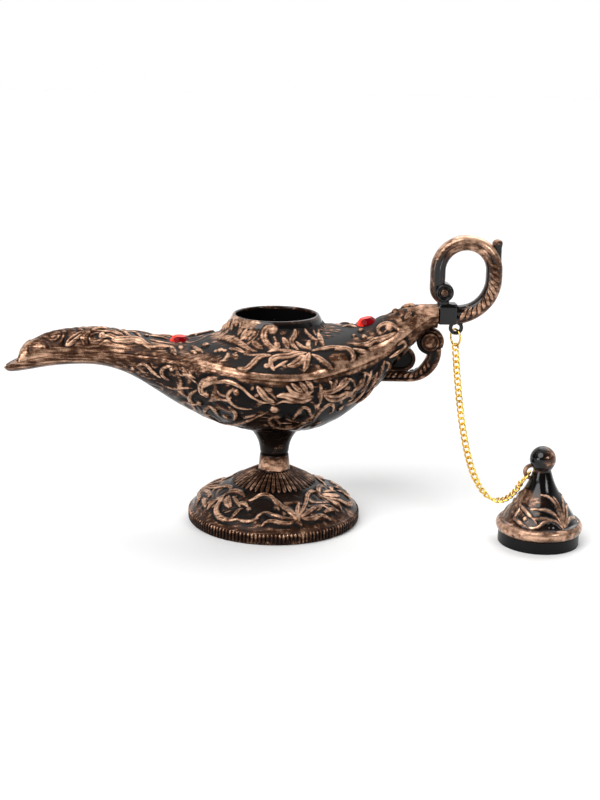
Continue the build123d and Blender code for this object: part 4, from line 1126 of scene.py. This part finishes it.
# %% Drawing of the foot
FOOT_STROKES = (
    (2.5, 2.0, (226, 494), (221, 501), (217, 509), (218, 515), (223, 519), (231, 520.5), (238, 519)),
    (3.0, 2.4, (228, 493.5), (234, 492), (240, 493), (245, 497)),
    (1.8, 1.8, (227, 497), (226, 504), (229, 508)),
    (1.8, 1.8, (229, 496), (230, 503), (231, 507)),
    (1.8, 1.8, (233, 497), (237, 502), (240, 507)),
    (1.8, 1.8, (231, 519), (236, 514), (240, 510), (243, 509)),
    (2.5, 2.0, (239, 504), (244, 504), (248, 507)),
    (2.5, 2.0, (208, 509), (213, 504), (220, 499)),
    (2.5, 2.0, (206, 503), (212, 499), (217, 496), (222, 492)),
    (1.6, 1.6, (238, 519.5), (245, 521.5), (252, 521), (258, 518.5)),
    (1.6, 1.6, (255, 519), (260, 515), (266, 513), (274, 515.5), (283, 518), (295, 519)),
    (2.2, 1.8, (249, 501), (255, 499), (260, 496), (266, 495), (272, 498), (276, 504), (279, 511)),
    (1.8, 1.8, (268, 496), (275, 500), (281, 506), (288, 512), (295, 518)),
    (2.0, 2.0, (262, 526), (266, 522.5), (272, 521.5), (280, 523), (288, 523.5), (296, 520)),
    (2.5, 1.6, (297, 519), (291, 513), (284, 506)),
    (2.0, 1.6, (297, 517), (297, 510), (299, 503)),
    (2.0, 2.0, (299, 516), (303, 510), (306, 502), (307, 496), (311, 492), (317, 493), (320, 496)),
    (2.2, 2.0, (301, 517), (308, 513), (316, 508), (323, 507), (327, 509)),
    (2.4, 2.0, (302, 519), (311, 519), (319, 516.5), (325, 517), (330, 520)),
    (2.0, 1.6, (297, 521), (302, 526)),
    (1.8, 1.8, (319, 497), (324, 497), (329, 500)),
    (3.0, 2.0, (331, 502), (336, 506), (343, 508)),
    (2.4, 2.0, (324, 512), (331, 510.5), (338, 511)),
    (1.8, 1.8, (331, 491), (336, 496), (341, 501)),
)
FOOT_BEADS = ((1.8, 297.5, 519), (1.4, 249, 510), (1.3, 276, 508))
FOOT_TURNS = 3


def front_third(points):
    """Points turned about the lamp's axis into the third that faces the camera."""
    share = 2 * math.pi / FOOT_TURNS
    angle = np.arctan2(points[:, 0], -points[:, 1])
    angle = angle - share * np.round(angle / share)
    radius = np.hypot(points[:, 0], points[:, 1])
    return np.stack([radius * np.sin(angle), -radius * np.cos(angle), points[:, 2]], axis=1)


print("foot drawing has", len(FOOT_STROKES), "strokes and comes round", FOOT_TURNS, "times")

# %% [markdown]
# The neck of the foot keeps most of its paste, and the dome loses it towards the ribs. The inside is a plain hollow
# with a way for the screw.

# %% The foot as a piece
FOOT_COLUMNS = 560
FOOT_VEINS, FOOT_SEED = 0.42, 3
HOLLOW_MATT = 0.8
foot_profile = smooth_line([(41.2, 0.0), (41.2, 3.0), (41.2, 5.2), (40.9, 5.7), (40.0, 6.4), (37.4, 9.4), (34.6, 11.7),
                            (32.6, 12.6), (28.0, 14.2), (23.0, 16.9), (20.4, 18.7), (14.2, 21.6), (9.4, 24.0),
                            (7.9, 25.2), (7.6, 26.6), (7.3, 29.6), (7.0, 32.3), (6.6, 33.0), (6.0, 33.3)], 0.42)
foot_grid = turned_grid(foot_profile, FOOT_COLUMNS)
foot_relief = Relief(foot_grid, front_third, closed=True)
foot_relief.draw(FOOT_STROKES, FOOT_BEADS)
level_z = foot_grid[..., 2]
foot_relief.fill(span(level_z, 7.5, 9.5, 15, 18), FOOT_VEINS, FOOT_SEED)
crests, valley_shade = foot_relief.rubbed()
neck = (0.86 - 0.34 * ramp(level_z, 28.5, 32)) * span(level_z, 24.6, 26.2, 32.4, 33.0)
dome = (0.46 - 0.16 * ramp(level_z, 8.5, 11)) * (1 - ramp(level_z, 18, 20))
# Darker in the valleys beside the relief: partly less paste, partly painted shade.
foot_rub = np.maximum(crests, np.maximum(neck, dome) * (1 - 0.85 * valley_shade))
foot_matt = 0.5 * span(level_z, 6, 8, 16, 19)
foot_inner = turned_grid([(41.2, 0.0), (38.7, 0.0), (38.7, 4.3), (30.9, 9.4), (18.4, 16.0), (6.3, 22.1),
                          (2.0, 22.1)], 120)
foot_whole = joined(sheet(foot_relief.raised(), foot_rub, foot_matt, closed=True),
                    sheet(foot_inner, 0, HOLLOW_MATT, closed=True))
piece("foot_carved", foot_whole, bronze, "root", "foot")

# %% [markdown]
# The reeds and the ribs are half-round bars. Paste catches on the top of each reed and along the crest of each rib,
# so the bars carry more rub there than in their valleys.

# %% Reeds and ribs
def bar(start, end, half_wide, tall, steps=10, sides=9):
    """Half-round bar between two (radius, height) points of the plane y = 0, tapered at its ends."""
    start, end = np.asarray(start, float), np.asarray(end, float)
    part = np.linspace(0, 1, steps)[:, None]
    swell = np.sqrt(np.clip(1 - (2 * part - 1) ** 6, 0.02, 1))
    angle = np.linspace(0, math.pi, sides)[None]
    run = end - start
    lift = np.array([-run[1], run[0]]) / np.linalg.norm(run)
    lift *= np.sign(lift[0] + lift[1])
    out = tall * swell * np.sin(angle)
    grid = np.stack([start[0] + run[0] * part + lift[0] * out, half_wide * swell * np.cos(angle),
                     start[1] + run[1] * part + lift[1] * out], axis=2)
    return grid, np.sin(angle) + 0 * part


REEDS, RIBS = 140, 44
RIB_FILL = 0.86
reed_grid, reed_crest = bar((41.15, 0.1), (41.15, 5.5), 0.80, 0.95)
reed_rub = reed_crest * (0.46 + 0.40 * ramp(reed_grid[..., 2], 3.8, 5.2))
reeds = settled("foot_reeds", bpy.data.meshes.new("carrier"), turn_about_axis,
                as_mesh("reed", sheet(reed_grid, reed_rub)), bronze, Count=REEDS)
piece("foot_reeds", reeds, bronze, "root")
rib_grid, rib_crest = bar((8.3, 25.0), (20.6, 18.6), RIB_FILL * math.pi / RIBS, 0.75, 16)
rib_grid[..., 1] *= rib_grid[..., 0]
ribs = settled("foot_ribs", bpy.data.meshes.new("carrier"), turn_about_axis,
               as_mesh("rib", sheet(rib_grid, 0.56 * ramp(rib_crest, 0.2, 0.8))), bronze, Count=RIBS)
piece("foot_ribs", ribs, bronze, "root")

# %% [markdown]
# ## Ring handle
# The handle is one bar bent into a ring: a square black shank out of the tail, the loop, and a small volute where the
# loop ends inside and rests on the shank. A groove runs along each face, feathers lie along its lower back, and a leaf
# spur for the thumb runs up its back and leaves it at the top. A lug below holds the chain's ring.

# %% Bars bent in the lamp's long plane
def arc_points(centre, radius, start, stop, step=4.0):
    """Points of an arc in the long plane, angles in degrees."""
    angle = np.radians(np.linspace(start, stop, max(3, int(abs(stop - start) / step))))
    return np.stack([centre[0] + radius * np.cos(angle), centre[1] + radius * np.sin(angle)], axis=1)


def even_path(points, step=0.55):
    """The path cut into even steps."""
    points = np.asarray(points, float)
    run = np.concatenate([[0], np.cumsum(np.linalg.norm(np.diff(points, axis=0), axis=1))])
    at = np.linspace(0, run[-1], int(run[-1] / step))
    return np.stack([np.interp(at, run, points[:, k]) for k in (0, 1)], axis=1)


def inwards(path):
    """Unit normals of a path, to its left."""
    ahead_of = np.gradient(path, axis=0)
    ahead_of /= np.linalg.norm(ahead_of, axis=1, keepdims=True)
    return np.stack([-ahead_of[:, 1], ahead_of[:, 0]], axis=1)


def bent_bar(path, thick, wide, sides=56, power=2.5):
    """Bar along a path, its section a squarish oval; also each point's place on it, inwards and sideways."""
    path = np.asarray(path, float)
    inner = inwards(path)
    angle = np.linspace(0, 2 * math.pi, sides, endpoint=False)[None]
    rounded = [np.sign(f) * np.abs(f) ** (2 / power) for f in (np.cos(angle), np.sin(angle))]
    thick, wide = (np.broadcast_to(np.reshape(v, (-1, 1)), (len(path), 1)) for v in (thick, wide))
    reach = thick / 2 * rounded[0]
    grid = np.stack([path[:, :1] + inner[:, :1] * reach, wide / 2 * rounded[1],
                     path[:, 1:] + inner[:, 1:] * reach], axis=2)
    return grid, rounded[0] + 0 * reach, rounded[1] + 0 * reach


def grooved(path, thick, wide, depth, width):
    """Bent bar, the same with a groove along each face, how far inwards each point lies and where the groove is."""
    grid, toward, sideways = bent_bar(path, thick, wide)
    groove = np.exp(-((toward / width) ** 2)) * (np.abs(sideways) > 0.5)
    return grid, displaced(grid, -depth * groove, closed=True), toward, groove


def capped(grid, rub, matt=0.0):
    """A bar's grid as a sheet with both ends closed."""
    points, faces, rubs, matts = sheet(grid, rub, matt, closed=True)
    columns = grid.shape[1]
    last = len(points) - columns
    faces.append(list(range(columns)))
    faces.append(list(range(last, last + columns))[::-1])
    return points, faces, rubs, matts


HANDLE_Z = 103.0
loop_path = even_path(np.vstack([
    [(84.0, HANDLE_Z)], arc_points((85.5, 120.5), 17.5, -90, 0), arc_points((89.7, 124.1), 13.3, 0, 180),
    [(76.4, 115.7)], arc_points((80.8, 115.7), 4.4, 180, 262)]))  # the shank, the rise, the top, the way down, the end
along = np.linspace(0, 1, len(loop_path))
loop_thick = 7.8 - 0.5 * ramp(along, 0.35, 0.6) + 1.1 * (1 - ramp(along, 0.02, 0.16))
loop_wide = 8.0 - 0.8 * ramp(along, 0.6, 1.0)
loop_grid, loop_cut, toward, groove = grooved(loop_path, loop_thick, loop_wide, depth=0.75, width=0.17)
loop_rub = 0.22 + 0.36 * ramp(-toward, 0.2, 0.9) + 0.52 * ramp(loop_grid[..., 2], 124, 135) - 0.40 * groove
loop_rub += 0.16 * ramp(loop_grid[..., 0], 92, 100)
loop_sheet = capped(loop_cut, loop_rub)
print("loop is", round(float(np.linalg.norm(np.diff(loop_path, axis=0), axis=1).sum()), 1), "mm round")

# %% [markdown]
# The shank, the volute on its seat, the leaf spur and the lug for the chain's ring are joined to the loop.

# %% The handle as a piece
def button(centre, profile, columns=72):
    """Turned form across the lamp: (radius, half width) points from the rim to the middle, on both faces."""
    profile = np.asarray(profile, float)
    both = np.vstack([profile[::-1] * [1, -1], profile])
    grid = turned_grid(both, columns)
    return np.stack([centre[0] + grid[..., 0], -grid[..., 2], centre[1] + grid[..., 1]], axis=2)


def post(x, low, high, long, wide, power):
    """Short upright bar at a place along the lamp."""
    return bent_bar([(x, z) for z in np.linspace(low, high, 6)], long, wide, 24, power)[0]


SHANK_STEPS, SHANK_RISE = 34, 0.5
LUG = (86.1, 96.6)
shank_path = np.stack([np.linspace(76.6, 87.6, SHANK_STEPS), np.full(SHANK_STEPS, HANDLE_Z + SHANK_RISE)], axis=1)
part = np.linspace(0, 1, SHANK_STEPS)
shank_thick = 10.2 - 1.2 * (1 - ramp(part, 0, 0.14)) - 3.4 * ramp(part, 0.78, 1.0)
shank_grid = bent_bar(shank_path, shank_thick, shank_thick - 2.0, power=7)[0]
volute_profile = smooth_line([(4.5, 0.0), (4.5, 3.0), (4.2, 4.0), (3.7, 4.5), (3.1, 4.4), (2.6, 3.8), (2.2, 4.0),
                              (1.7, 4.7), (0.9, 5.0), (0.02, 5.1)], 0.25)
volute_grid = button((79.6, 113.9), volute_profile)
volute_rub = 0.16 + 0.5 * ramp(np.abs(volute_grid[..., 1]), 4.4, 4.8)
seat_grid = post(79.4, 106.6, 110.0, 5.8, 7.0, 3)
spur_line = [(104.8, 120.0), (104.9, 124.0), (104.7, 128.0), (104.3, 131.6), (104.2, 134.6), (103.9, 137.0),
             (103.6, 139.3)]
spur_path = even_path(smooth_line(spur_line, 0.4), 0.4)
spur_part = np.linspace(0, 1, len(spur_path))
spur_thick = 3.2 + 0.5 * ramp(spur_part, 0.4, 0.7) + 2.4 * ramp(spur_part, 0.74, 0.94)
spur_thick *= np.sqrt(np.clip(1 - spur_part**12, 0.02, 1))
spur_grid = bent_bar(spur_path, spur_thick, 1.05 * spur_thick, 32, 2.2)[0]
spur_rub = 0.08 + 0.5 * ramp(spur_part, 0.80, 0.95)[:, None] + 0 * spur_grid[..., 0]
lug_profile = smooth_line([(3.5, 0.0), (3.4, 0.6), (3.0, 0.9), (2.2, 0.9), (1.75, 0.6), (1.7, 0.0)], 0.2)
lug_grid = button(LUG, lug_profile)
lug_arm = post(LUG[0], 98.6, 101.5, 6.8, 1.8, 4)
handle = joined(loop_sheet, capped(shank_grid, 0.02), sheet(volute_grid, volute_rub, 0, closed=True),
                capped(spur_grid, spur_rub), sheet(lug_grid, 0.1, 0, closed=True), capped(lug_arm, 0.05),
                capped(seat_grid, 0.02))
piece("handle_ring_bar", handle, lacquered, "root", "ring_handle")

# %% [markdown]
# Each feather is a small half drop. They lie in a row along both faces of the loop's lower back and slant inwards, like
# the barbs of a quill.

# %% Feathers on the handle
LEAF_EVERY = 5


def leaf_form(name, long, wide, tall, crest=0.85):
    """Half drop along X, its back on the plane z = 0."""
    part = np.linspace(0, 1, 14)[:, None]
    angle = np.linspace(0, math.pi, 11)[None]
    swell = np.sin(math.pi * part**0.75) ** 0.8 + 0.02
    grid = np.stack([long * (part - 0.5) + 0 * angle, wide / 2 * swell * np.cos(angle),
                     tall * swell * np.sin(angle)], axis=2)
    return as_mesh(name, sheet(grid, crest * np.sin(angle) + 0 * part))


def leaf_row(name, form, path, start, stop, inset, side_out, slant, tip):
    """Leaves along both faces of a bar, from start to stop of its length, slanting inwards."""
    places, aims, looks = [], [], []
    part = np.linspace(0, 1, len(path))
    for k in [k for k in range(len(path)) if start < part[k] < stop][::LEAF_EVERY]:
        ahead_of = path[k + 1] - path[k]
        ahead_of /= np.linalg.norm(ahead_of)
        inner = np.array([-ahead_of[1], ahead_of[0]])
        spot, aim = path[k] + inner * inset, slant[0] * ahead_of + slant[1] * inner
        for side in (-1, 1):
            places.append((spot[0], side * side_out, spot[1]))
            aims.append((aim[0], 0, aim[1]))
            looks.append((0, side, tip))
    piece(name, settled(name, points_mesh(places, aims, looks), set_on_points, form, bronze), bronze, "root")


leaf_row("handle_feathers", leaf_form("feather", 6.6, 2.45, 0.75), loop_path, 0.05, 0.42, inset=0.2, side_out=3.55,
         slant=(0.66, 0.75), tip=0)

# %% [markdown]
# ## Rear scroll
# Below the tail a C-scroll leaves the hull, runs back and rolls up into a volute with a boss. Rope leaves lie along
# its arm, and a smaller curl with a dished web fills the corner between them.

# %% Scroll and rope leaves
ARM_Z = 72.3
BOSS = (73.8, 89.9)
SCROLL_SWELL = 1.8
ARM_RADIUS, VOLUTE_RADIUS = 12.6, 4.6
scroll_path = even_path(np.vstack([[(38.0, ARM_Z)], arc_points((64.5, ARM_Z + ARM_RADIUS), ARM_RADIUS, -90, 12),
                                   arc_points(BOSS, VOLUTE_RADIUS, -40, 150)]))
part = np.linspace(0, 1, len(scroll_path))
swell = SCROLL_SWELL * span(part, 0.42, 0.60, 0.78, 0.95)
scroll_path = scroll_path + swell[:, None] / 2 * inwards(scroll_path)
scroll_thick = 5.0 - 1.4 * ramp(part, 0.72, 1.0) + swell
scroll_wide = 7.0 - 1.0 * ramp(part, 0.8, 1.0)
_, scroll_cut, toward, groove = grooved(scroll_path, scroll_thick, scroll_wide, depth=0.6, width=0.2)
scroll_rub = 0.32 + 0.34 * ramp(-toward, 0.1, 0.9) + 0.14 * ramp(toward, 0.4, 0.9) - 0.2 * groove
boss_profile = smooth_line([(6.3, 0.0), (6.3, 2.0), (5.8, 2.8), (5.0, 3.0), (4.6, 3.4), (4.2, 4.3), (3.7, 4.4),
                            (3.2, 4.0), (2.9, 4.4), (2.2, 5.0), (1.2, 5.2), (0.02, 5.2)], 0.25)
boss_grid = button(BOSS, boss_profile)
boss_rub = 0.08 + 0.46 * ramp(np.abs(boss_grid[..., 1]), 3.3, 4.5)
scroll = joined(capped(scroll_cut, scroll_rub), sheet(boss_grid, boss_rub, 0, closed=True))
piece("scroll_bar", scroll, bronze, "root", "rear_scroll")
leaf_row("scroll_leaves", leaf_form("rope_leaf", 3.9, 2.3, 1.3, 0.62), scroll_path, 0.12, 0.62, inset=1.3, side_out=2.9,
         slant=(0.72, 0.7), tip=0.25)

# %% [markdown]
# The curl is a narrow band bent back on itself. A thin web closes it, set in from both faces, so that it reads as a
# dished leaf.

# %% Curl with its web
CURL_X, CURL_Z, CURL_RADIUS = 61.2, 81.0, 5.1
CURL_LOW, CURL_HIGH = (51.5, CURL_Z - CURL_RADIUS), (52.5, CURL_Z + CURL_RADIUS)
WEB_START, WEB_END, WEB_REACH, WEB_HALF = 51.5, 66.1, 5.0, 0.8
curl_path = even_path(np.vstack([[CURL_LOW], arc_points((CURL_X, CURL_Z), CURL_RADIUS, -90, 90), [CURL_HIGH]]))
curl_grid, toward, _ = bent_bar(curl_path, 2.2, 5.0, 32, 3)
web_x = np.linspace(WEB_START, WEB_END, 18)[:, None]
tall = WEB_REACH * np.sqrt(np.clip(1 - (np.maximum(0, web_x - CURL_X) / WEB_REACH) ** 2, 0, 1))
level = np.linspace(-1, 1, 9)[None]
web_grid = np.stack([web_x + 0 * level, -WEB_HALF + 0 * web_x * level, CURL_Z + level * tall], axis=2)
webs = [web_grid, web_grid * [1, -1, 1]]
curl = joined(capped(curl_grid, 0.36 + 0.3 * ramp(-toward, 0.0, 0.8)), *(sheet(web, 0.05, 0.6) for web in webs))
piece("curl_band", curl, bronze, "root", "inner_curl")

# %% [markdown]
# ## Lid
# The lid is a bell: a plug that drops into the mouth, a rolled bead, a cone with a spray of leaves, a smooth neck and
# a black ball. The eye for the chain stands on the side of the neck.

# %% Drawing of the lid
LID_X, LID_Y = 126.2, -29.0
LID_STROKES = tuple((1.7, 1.1) + line for line in (
    ((563, 530), (559, 521), (553, 514), (546, 510.5), (538, 509.5), (530, 509)),
    ((562, 528), (556, 522), (549, 521), (543, 523), (537, 527.5), (529, 527.5)),
    ((562, 526), (558, 512), (554, 503), (548, 497), (541, 495)),
    ((563, 525), (560, 511), (556, 501), (553, 497)),
    ((563, 524), (563, 512), (562, 501), (561, 492)),
    ((564, 527), (566, 517), (566, 508), (567, 503)),
    ((564, 529), (569, 519), (574, 518.5), (578, 522)),
    ((520, 505), (525, 510), (531, 517), (535, 521), (537, 525)),
    ((514, 520), (517, 514), (520, 508)),
    ((515, 519), (520, 523), (527, 527)),
    ((533, 519), (540, 519), (549, 518.5)),
))
LID_BEADS = ((1.0, 525, 519),)
lid_profile = smooth_line([(18.2, 5.5), (18.9, 5.6), (19.8, 6.7), (20.2, 8.4), (19.8, 10.1), (18.7, 11.2), (17.5, 11.5),
                           (16.9, 12.2), (13.0, 18.2), (9.4, 23.6), (7.6, 26.4), (5.9, 30.0), (4.7, 33.4), (4.2, 35.2),
                           (4.4, 35.9), (5.3, 37.4), (5.95, 39.3), (6.05, 40.6), (5.8, 42.4), (4.8, 44.3), (3.2, 45.75),
                           (1.5, 46.5), (0.05, 46.65)], 0.3)
LID_COLUMNS = 300
LID_VEINS, LID_SEED = 0.34, 8
CONE_RUB, BALL_RUB = 0.64, 0.60
lid_grid = turned_grid(lid_profile, LID_COLUMNS, (LID_X, LID_Y))


def facing_half(points):
    """Points turned about the lid's axis to the side that faces the camera."""
    behind = points[:, 1] > LID_Y
    return np.where(behind[:, None], np.array([2 * LID_X, 2 * LID_Y, 0]) + points * [-1, -1, 1], points)


lid_relief = Relief(lid_grid, facing_half, closed=True)
lid_relief.draw(LID_STROKES, LID_BEADS)
level_z = lid_grid[..., 2]
spin = np.arctan2(lid_grid[..., 1] - LID_Y, lid_grid[..., 0] - LID_X)
to_right = 0.5 + 0.5 * np.cos(spin)
neck = span(level_z, 25.5, 28, 33.5, 35)
bead = span(level_z, 5.8, 6.8, 10.8, 11.6)
ball = ramp(level_z, 35.8, 36.8)
cone = span(level_z, 11.8, 12.8, 22, 26)
lid_relief.fill(0.45 * cone, LID_VEINS, LID_SEED)
crests, valley_shade = lid_relief.rubbed()
smear = np.maximum.reduce([bead, CONE_RUB * (1 - neck) * (1 - ball) * (1 - to_right), BALL_RUB * ball * to_right])
# Darker in the valleys beside the leaves: partly less paste, partly painted shade.
lid_rub = np.maximum(crests, smear * (1 - (1 - IN_VALLEYS) * valley_shade))
lid_sheet = sheet(lid_relief.raised(), lid_rub, 0, closed=True)
lid_hollow = [(18.2, 5.5), (17.2, 5.5), (17.2, 8.3), (15.5, 8.4), (14.9, 11.4), (5.6, 23.1), (0.1, 23.1)]
lid_inner = sheet(turned_grid(lid_hollow, 96, (LID_X, LID_Y)), 0, HOLLOW_MATT, closed=True)

# %% [markdown]
# The bell is hollow, and its eye is a ring of round bar on the side of the neck, just below the ball.

# %% The lid as a piece
EYE_X, EYE_Z, EYE_RADIUS, EYE_BAR, EYE_RUB = 121.2, 34.3, 3.0, 0.95, 0.75
angle = np.linspace(0, 2 * math.pi, 49)
eye_path = np.stack([EYE_X + EYE_RADIUS * np.cos(angle), EYE_Z + EYE_RADIUS * np.sin(angle)], axis=1)
eye_grid = bent_bar(eye_path, 2 * EYE_BAR, 2 * EYE_BAR, 20, 2.2)[0] + [0, LID_Y, 0]
lid_whole = joined(lid_sheet, lid_inner, sheet(eye_grid, EYE_RUB, 0, closed=True))
piece("lid_bell", lid_whole, lacquered, "lid", "lid_cap")

# %% [markdown]
# ## Chain
# The chain is fine curb chain: oval links of round wire, each twisted so that they all lie flat. The frame's own links
# say where each one is, so they are found there as separate shells, and a twisted link is set on each of them. The
# chain hangs flat to the front at the top and turns on edge towards the lid.

# %% Links set on the frame's links
LINK_WIRE, LINK_HALF, LINK_STRAIGHT, LINK_TWIST = 0.46, 1.25, 1.10, 42.0
LINK_STEPS, WIRE_SIDES = 40, 10
TORSION = 75.0
FIRST_LINK_LIFT = 0.16  # room for the jump ring in the first link when the chain bends


def shells_of(node):
    """Points of each separate shell of a node, in millimetres."""
    mesh = frame["nodes"][node].data
    points = np.array([v.co for v in mesh.vertices]) / MM
    _, same = np.unique(np.round(points, 4), axis=0, return_inverse=True)
    same = same.ravel()
    label = np.arange(same.max() + 1)
    ends = same[np.array([e.vertices for e in mesh.edges])]
    while True:
        least = np.minimum(label[ends[:, 0]], label[ends[:, 1]])
        before = label.copy()
        np.minimum.at(label, ends[:, 0], least)
        np.minimum.at(label, ends[:, 1], least)
        if (before == label).all():
            break
    return [points[label[same] == value] for value in np.unique(label)]


def link_form():
    """One curb link: an oval of wire, its length along X, twisted about it."""
    bend = math.pi * LINK_HALF
    ring = np.linspace(0, 2 * math.pi, WIRE_SIDES, endpoint=False)
    grid = []
    for run in np.linspace(0, 2 * (bend + LINK_STRAIGHT), LINK_STEPS, endpoint=False):
        side = 1 if run < bend + LINK_STRAIGHT else -1
        run -= 0 if side == 1 else bend + LINK_STRAIGHT
        turn = min(run, bend) / LINK_HALF - math.pi / 2
        out_x, out_y = side * math.cos(turn), side * math.sin(turn)
        reach = LINK_HALF + LINK_WIRE * np.cos(ring)
        middle = side * (LINK_STRAIGHT / 2 - max(0.0, run - bend))
        grid.append(np.stack([middle + out_x * reach, out_y * reach, LINK_WIRE * np.sin(ring)], axis=1))
    grid = np.array(grid + grid[:1])
    twist = np.radians(LINK_TWIST) * grid[..., 0] / (LINK_STRAIGHT / 2 + LINK_HALF)
    y, z = grid[..., 1].copy(), grid[..., 2].copy()
    grid[..., 1], grid[..., 2] = y * np.cos(twist) - z * np.sin(twist), y * np.sin(twist) + z * np.cos(twist)
    return as_mesh("link", sheet(grid, 0, 0, closed=True))


chained = [body for body in frame["bodies"] if body.endswith("_links")]
for number, body in enumerate(chained):
    node = body[:-len("_links")]
    turned_by = math.radians(TORSION) * ramp(number / len(chained), 0.5, 0.8)
    places, aims, looks = [], [], []
    for shell in shells_of(node):
        aim = np.linalg.svd(shell - shell.mean(axis=0), full_matrices=False)[2][0]
        aim = aim * -np.sign(aim[2] or 1)
        flat = np.array(Matrix.Rotation(turned_by, 3, Vector(aim)) @ Vector((0, -1, 0)))
        places.append(shell.mean(axis=0))
        aims.append(aim)
        looks.append(flat)
    if number == 0:
        first = int(np.argmax(np.array(places)[:, 2]))
        places[first] = places[first] - aims[first] * FIRST_LINK_LIFT
    links = settled(node + "_wire", points_mesh(places, aims, looks), set_on_points, link_form(), gold)
    piece(node + "_wire", links, gold, body, node, slot="gold_chain")

# %% [markdown]
# ## Pieces that keep the frame's shape
# The jump rings, the plug, the screw and its washer are already as plain as the real ones, so their nodes stay and
# only take their finish.

# %% Finishes of the kept nodes
for node, finish in {"handle_ring": gold, "lid_ring": gold, "lid_plug": black_plastic, "foot_screw": steel,
                     "foot_washer": steel}.items():
    slots = frame["nodes"][node].data.materials
    slots.clear()
    slots.append(finish)
    print(node, "takes", finish.name)

# %% [markdown]
# ## Size and end
# The carved pieces may stand a little proud of the frame, never much, so the box of everything shown is printed.

# %% Size and finish
low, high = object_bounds()
print("pieces", [round(v, 4) for v in (*low, *high)])
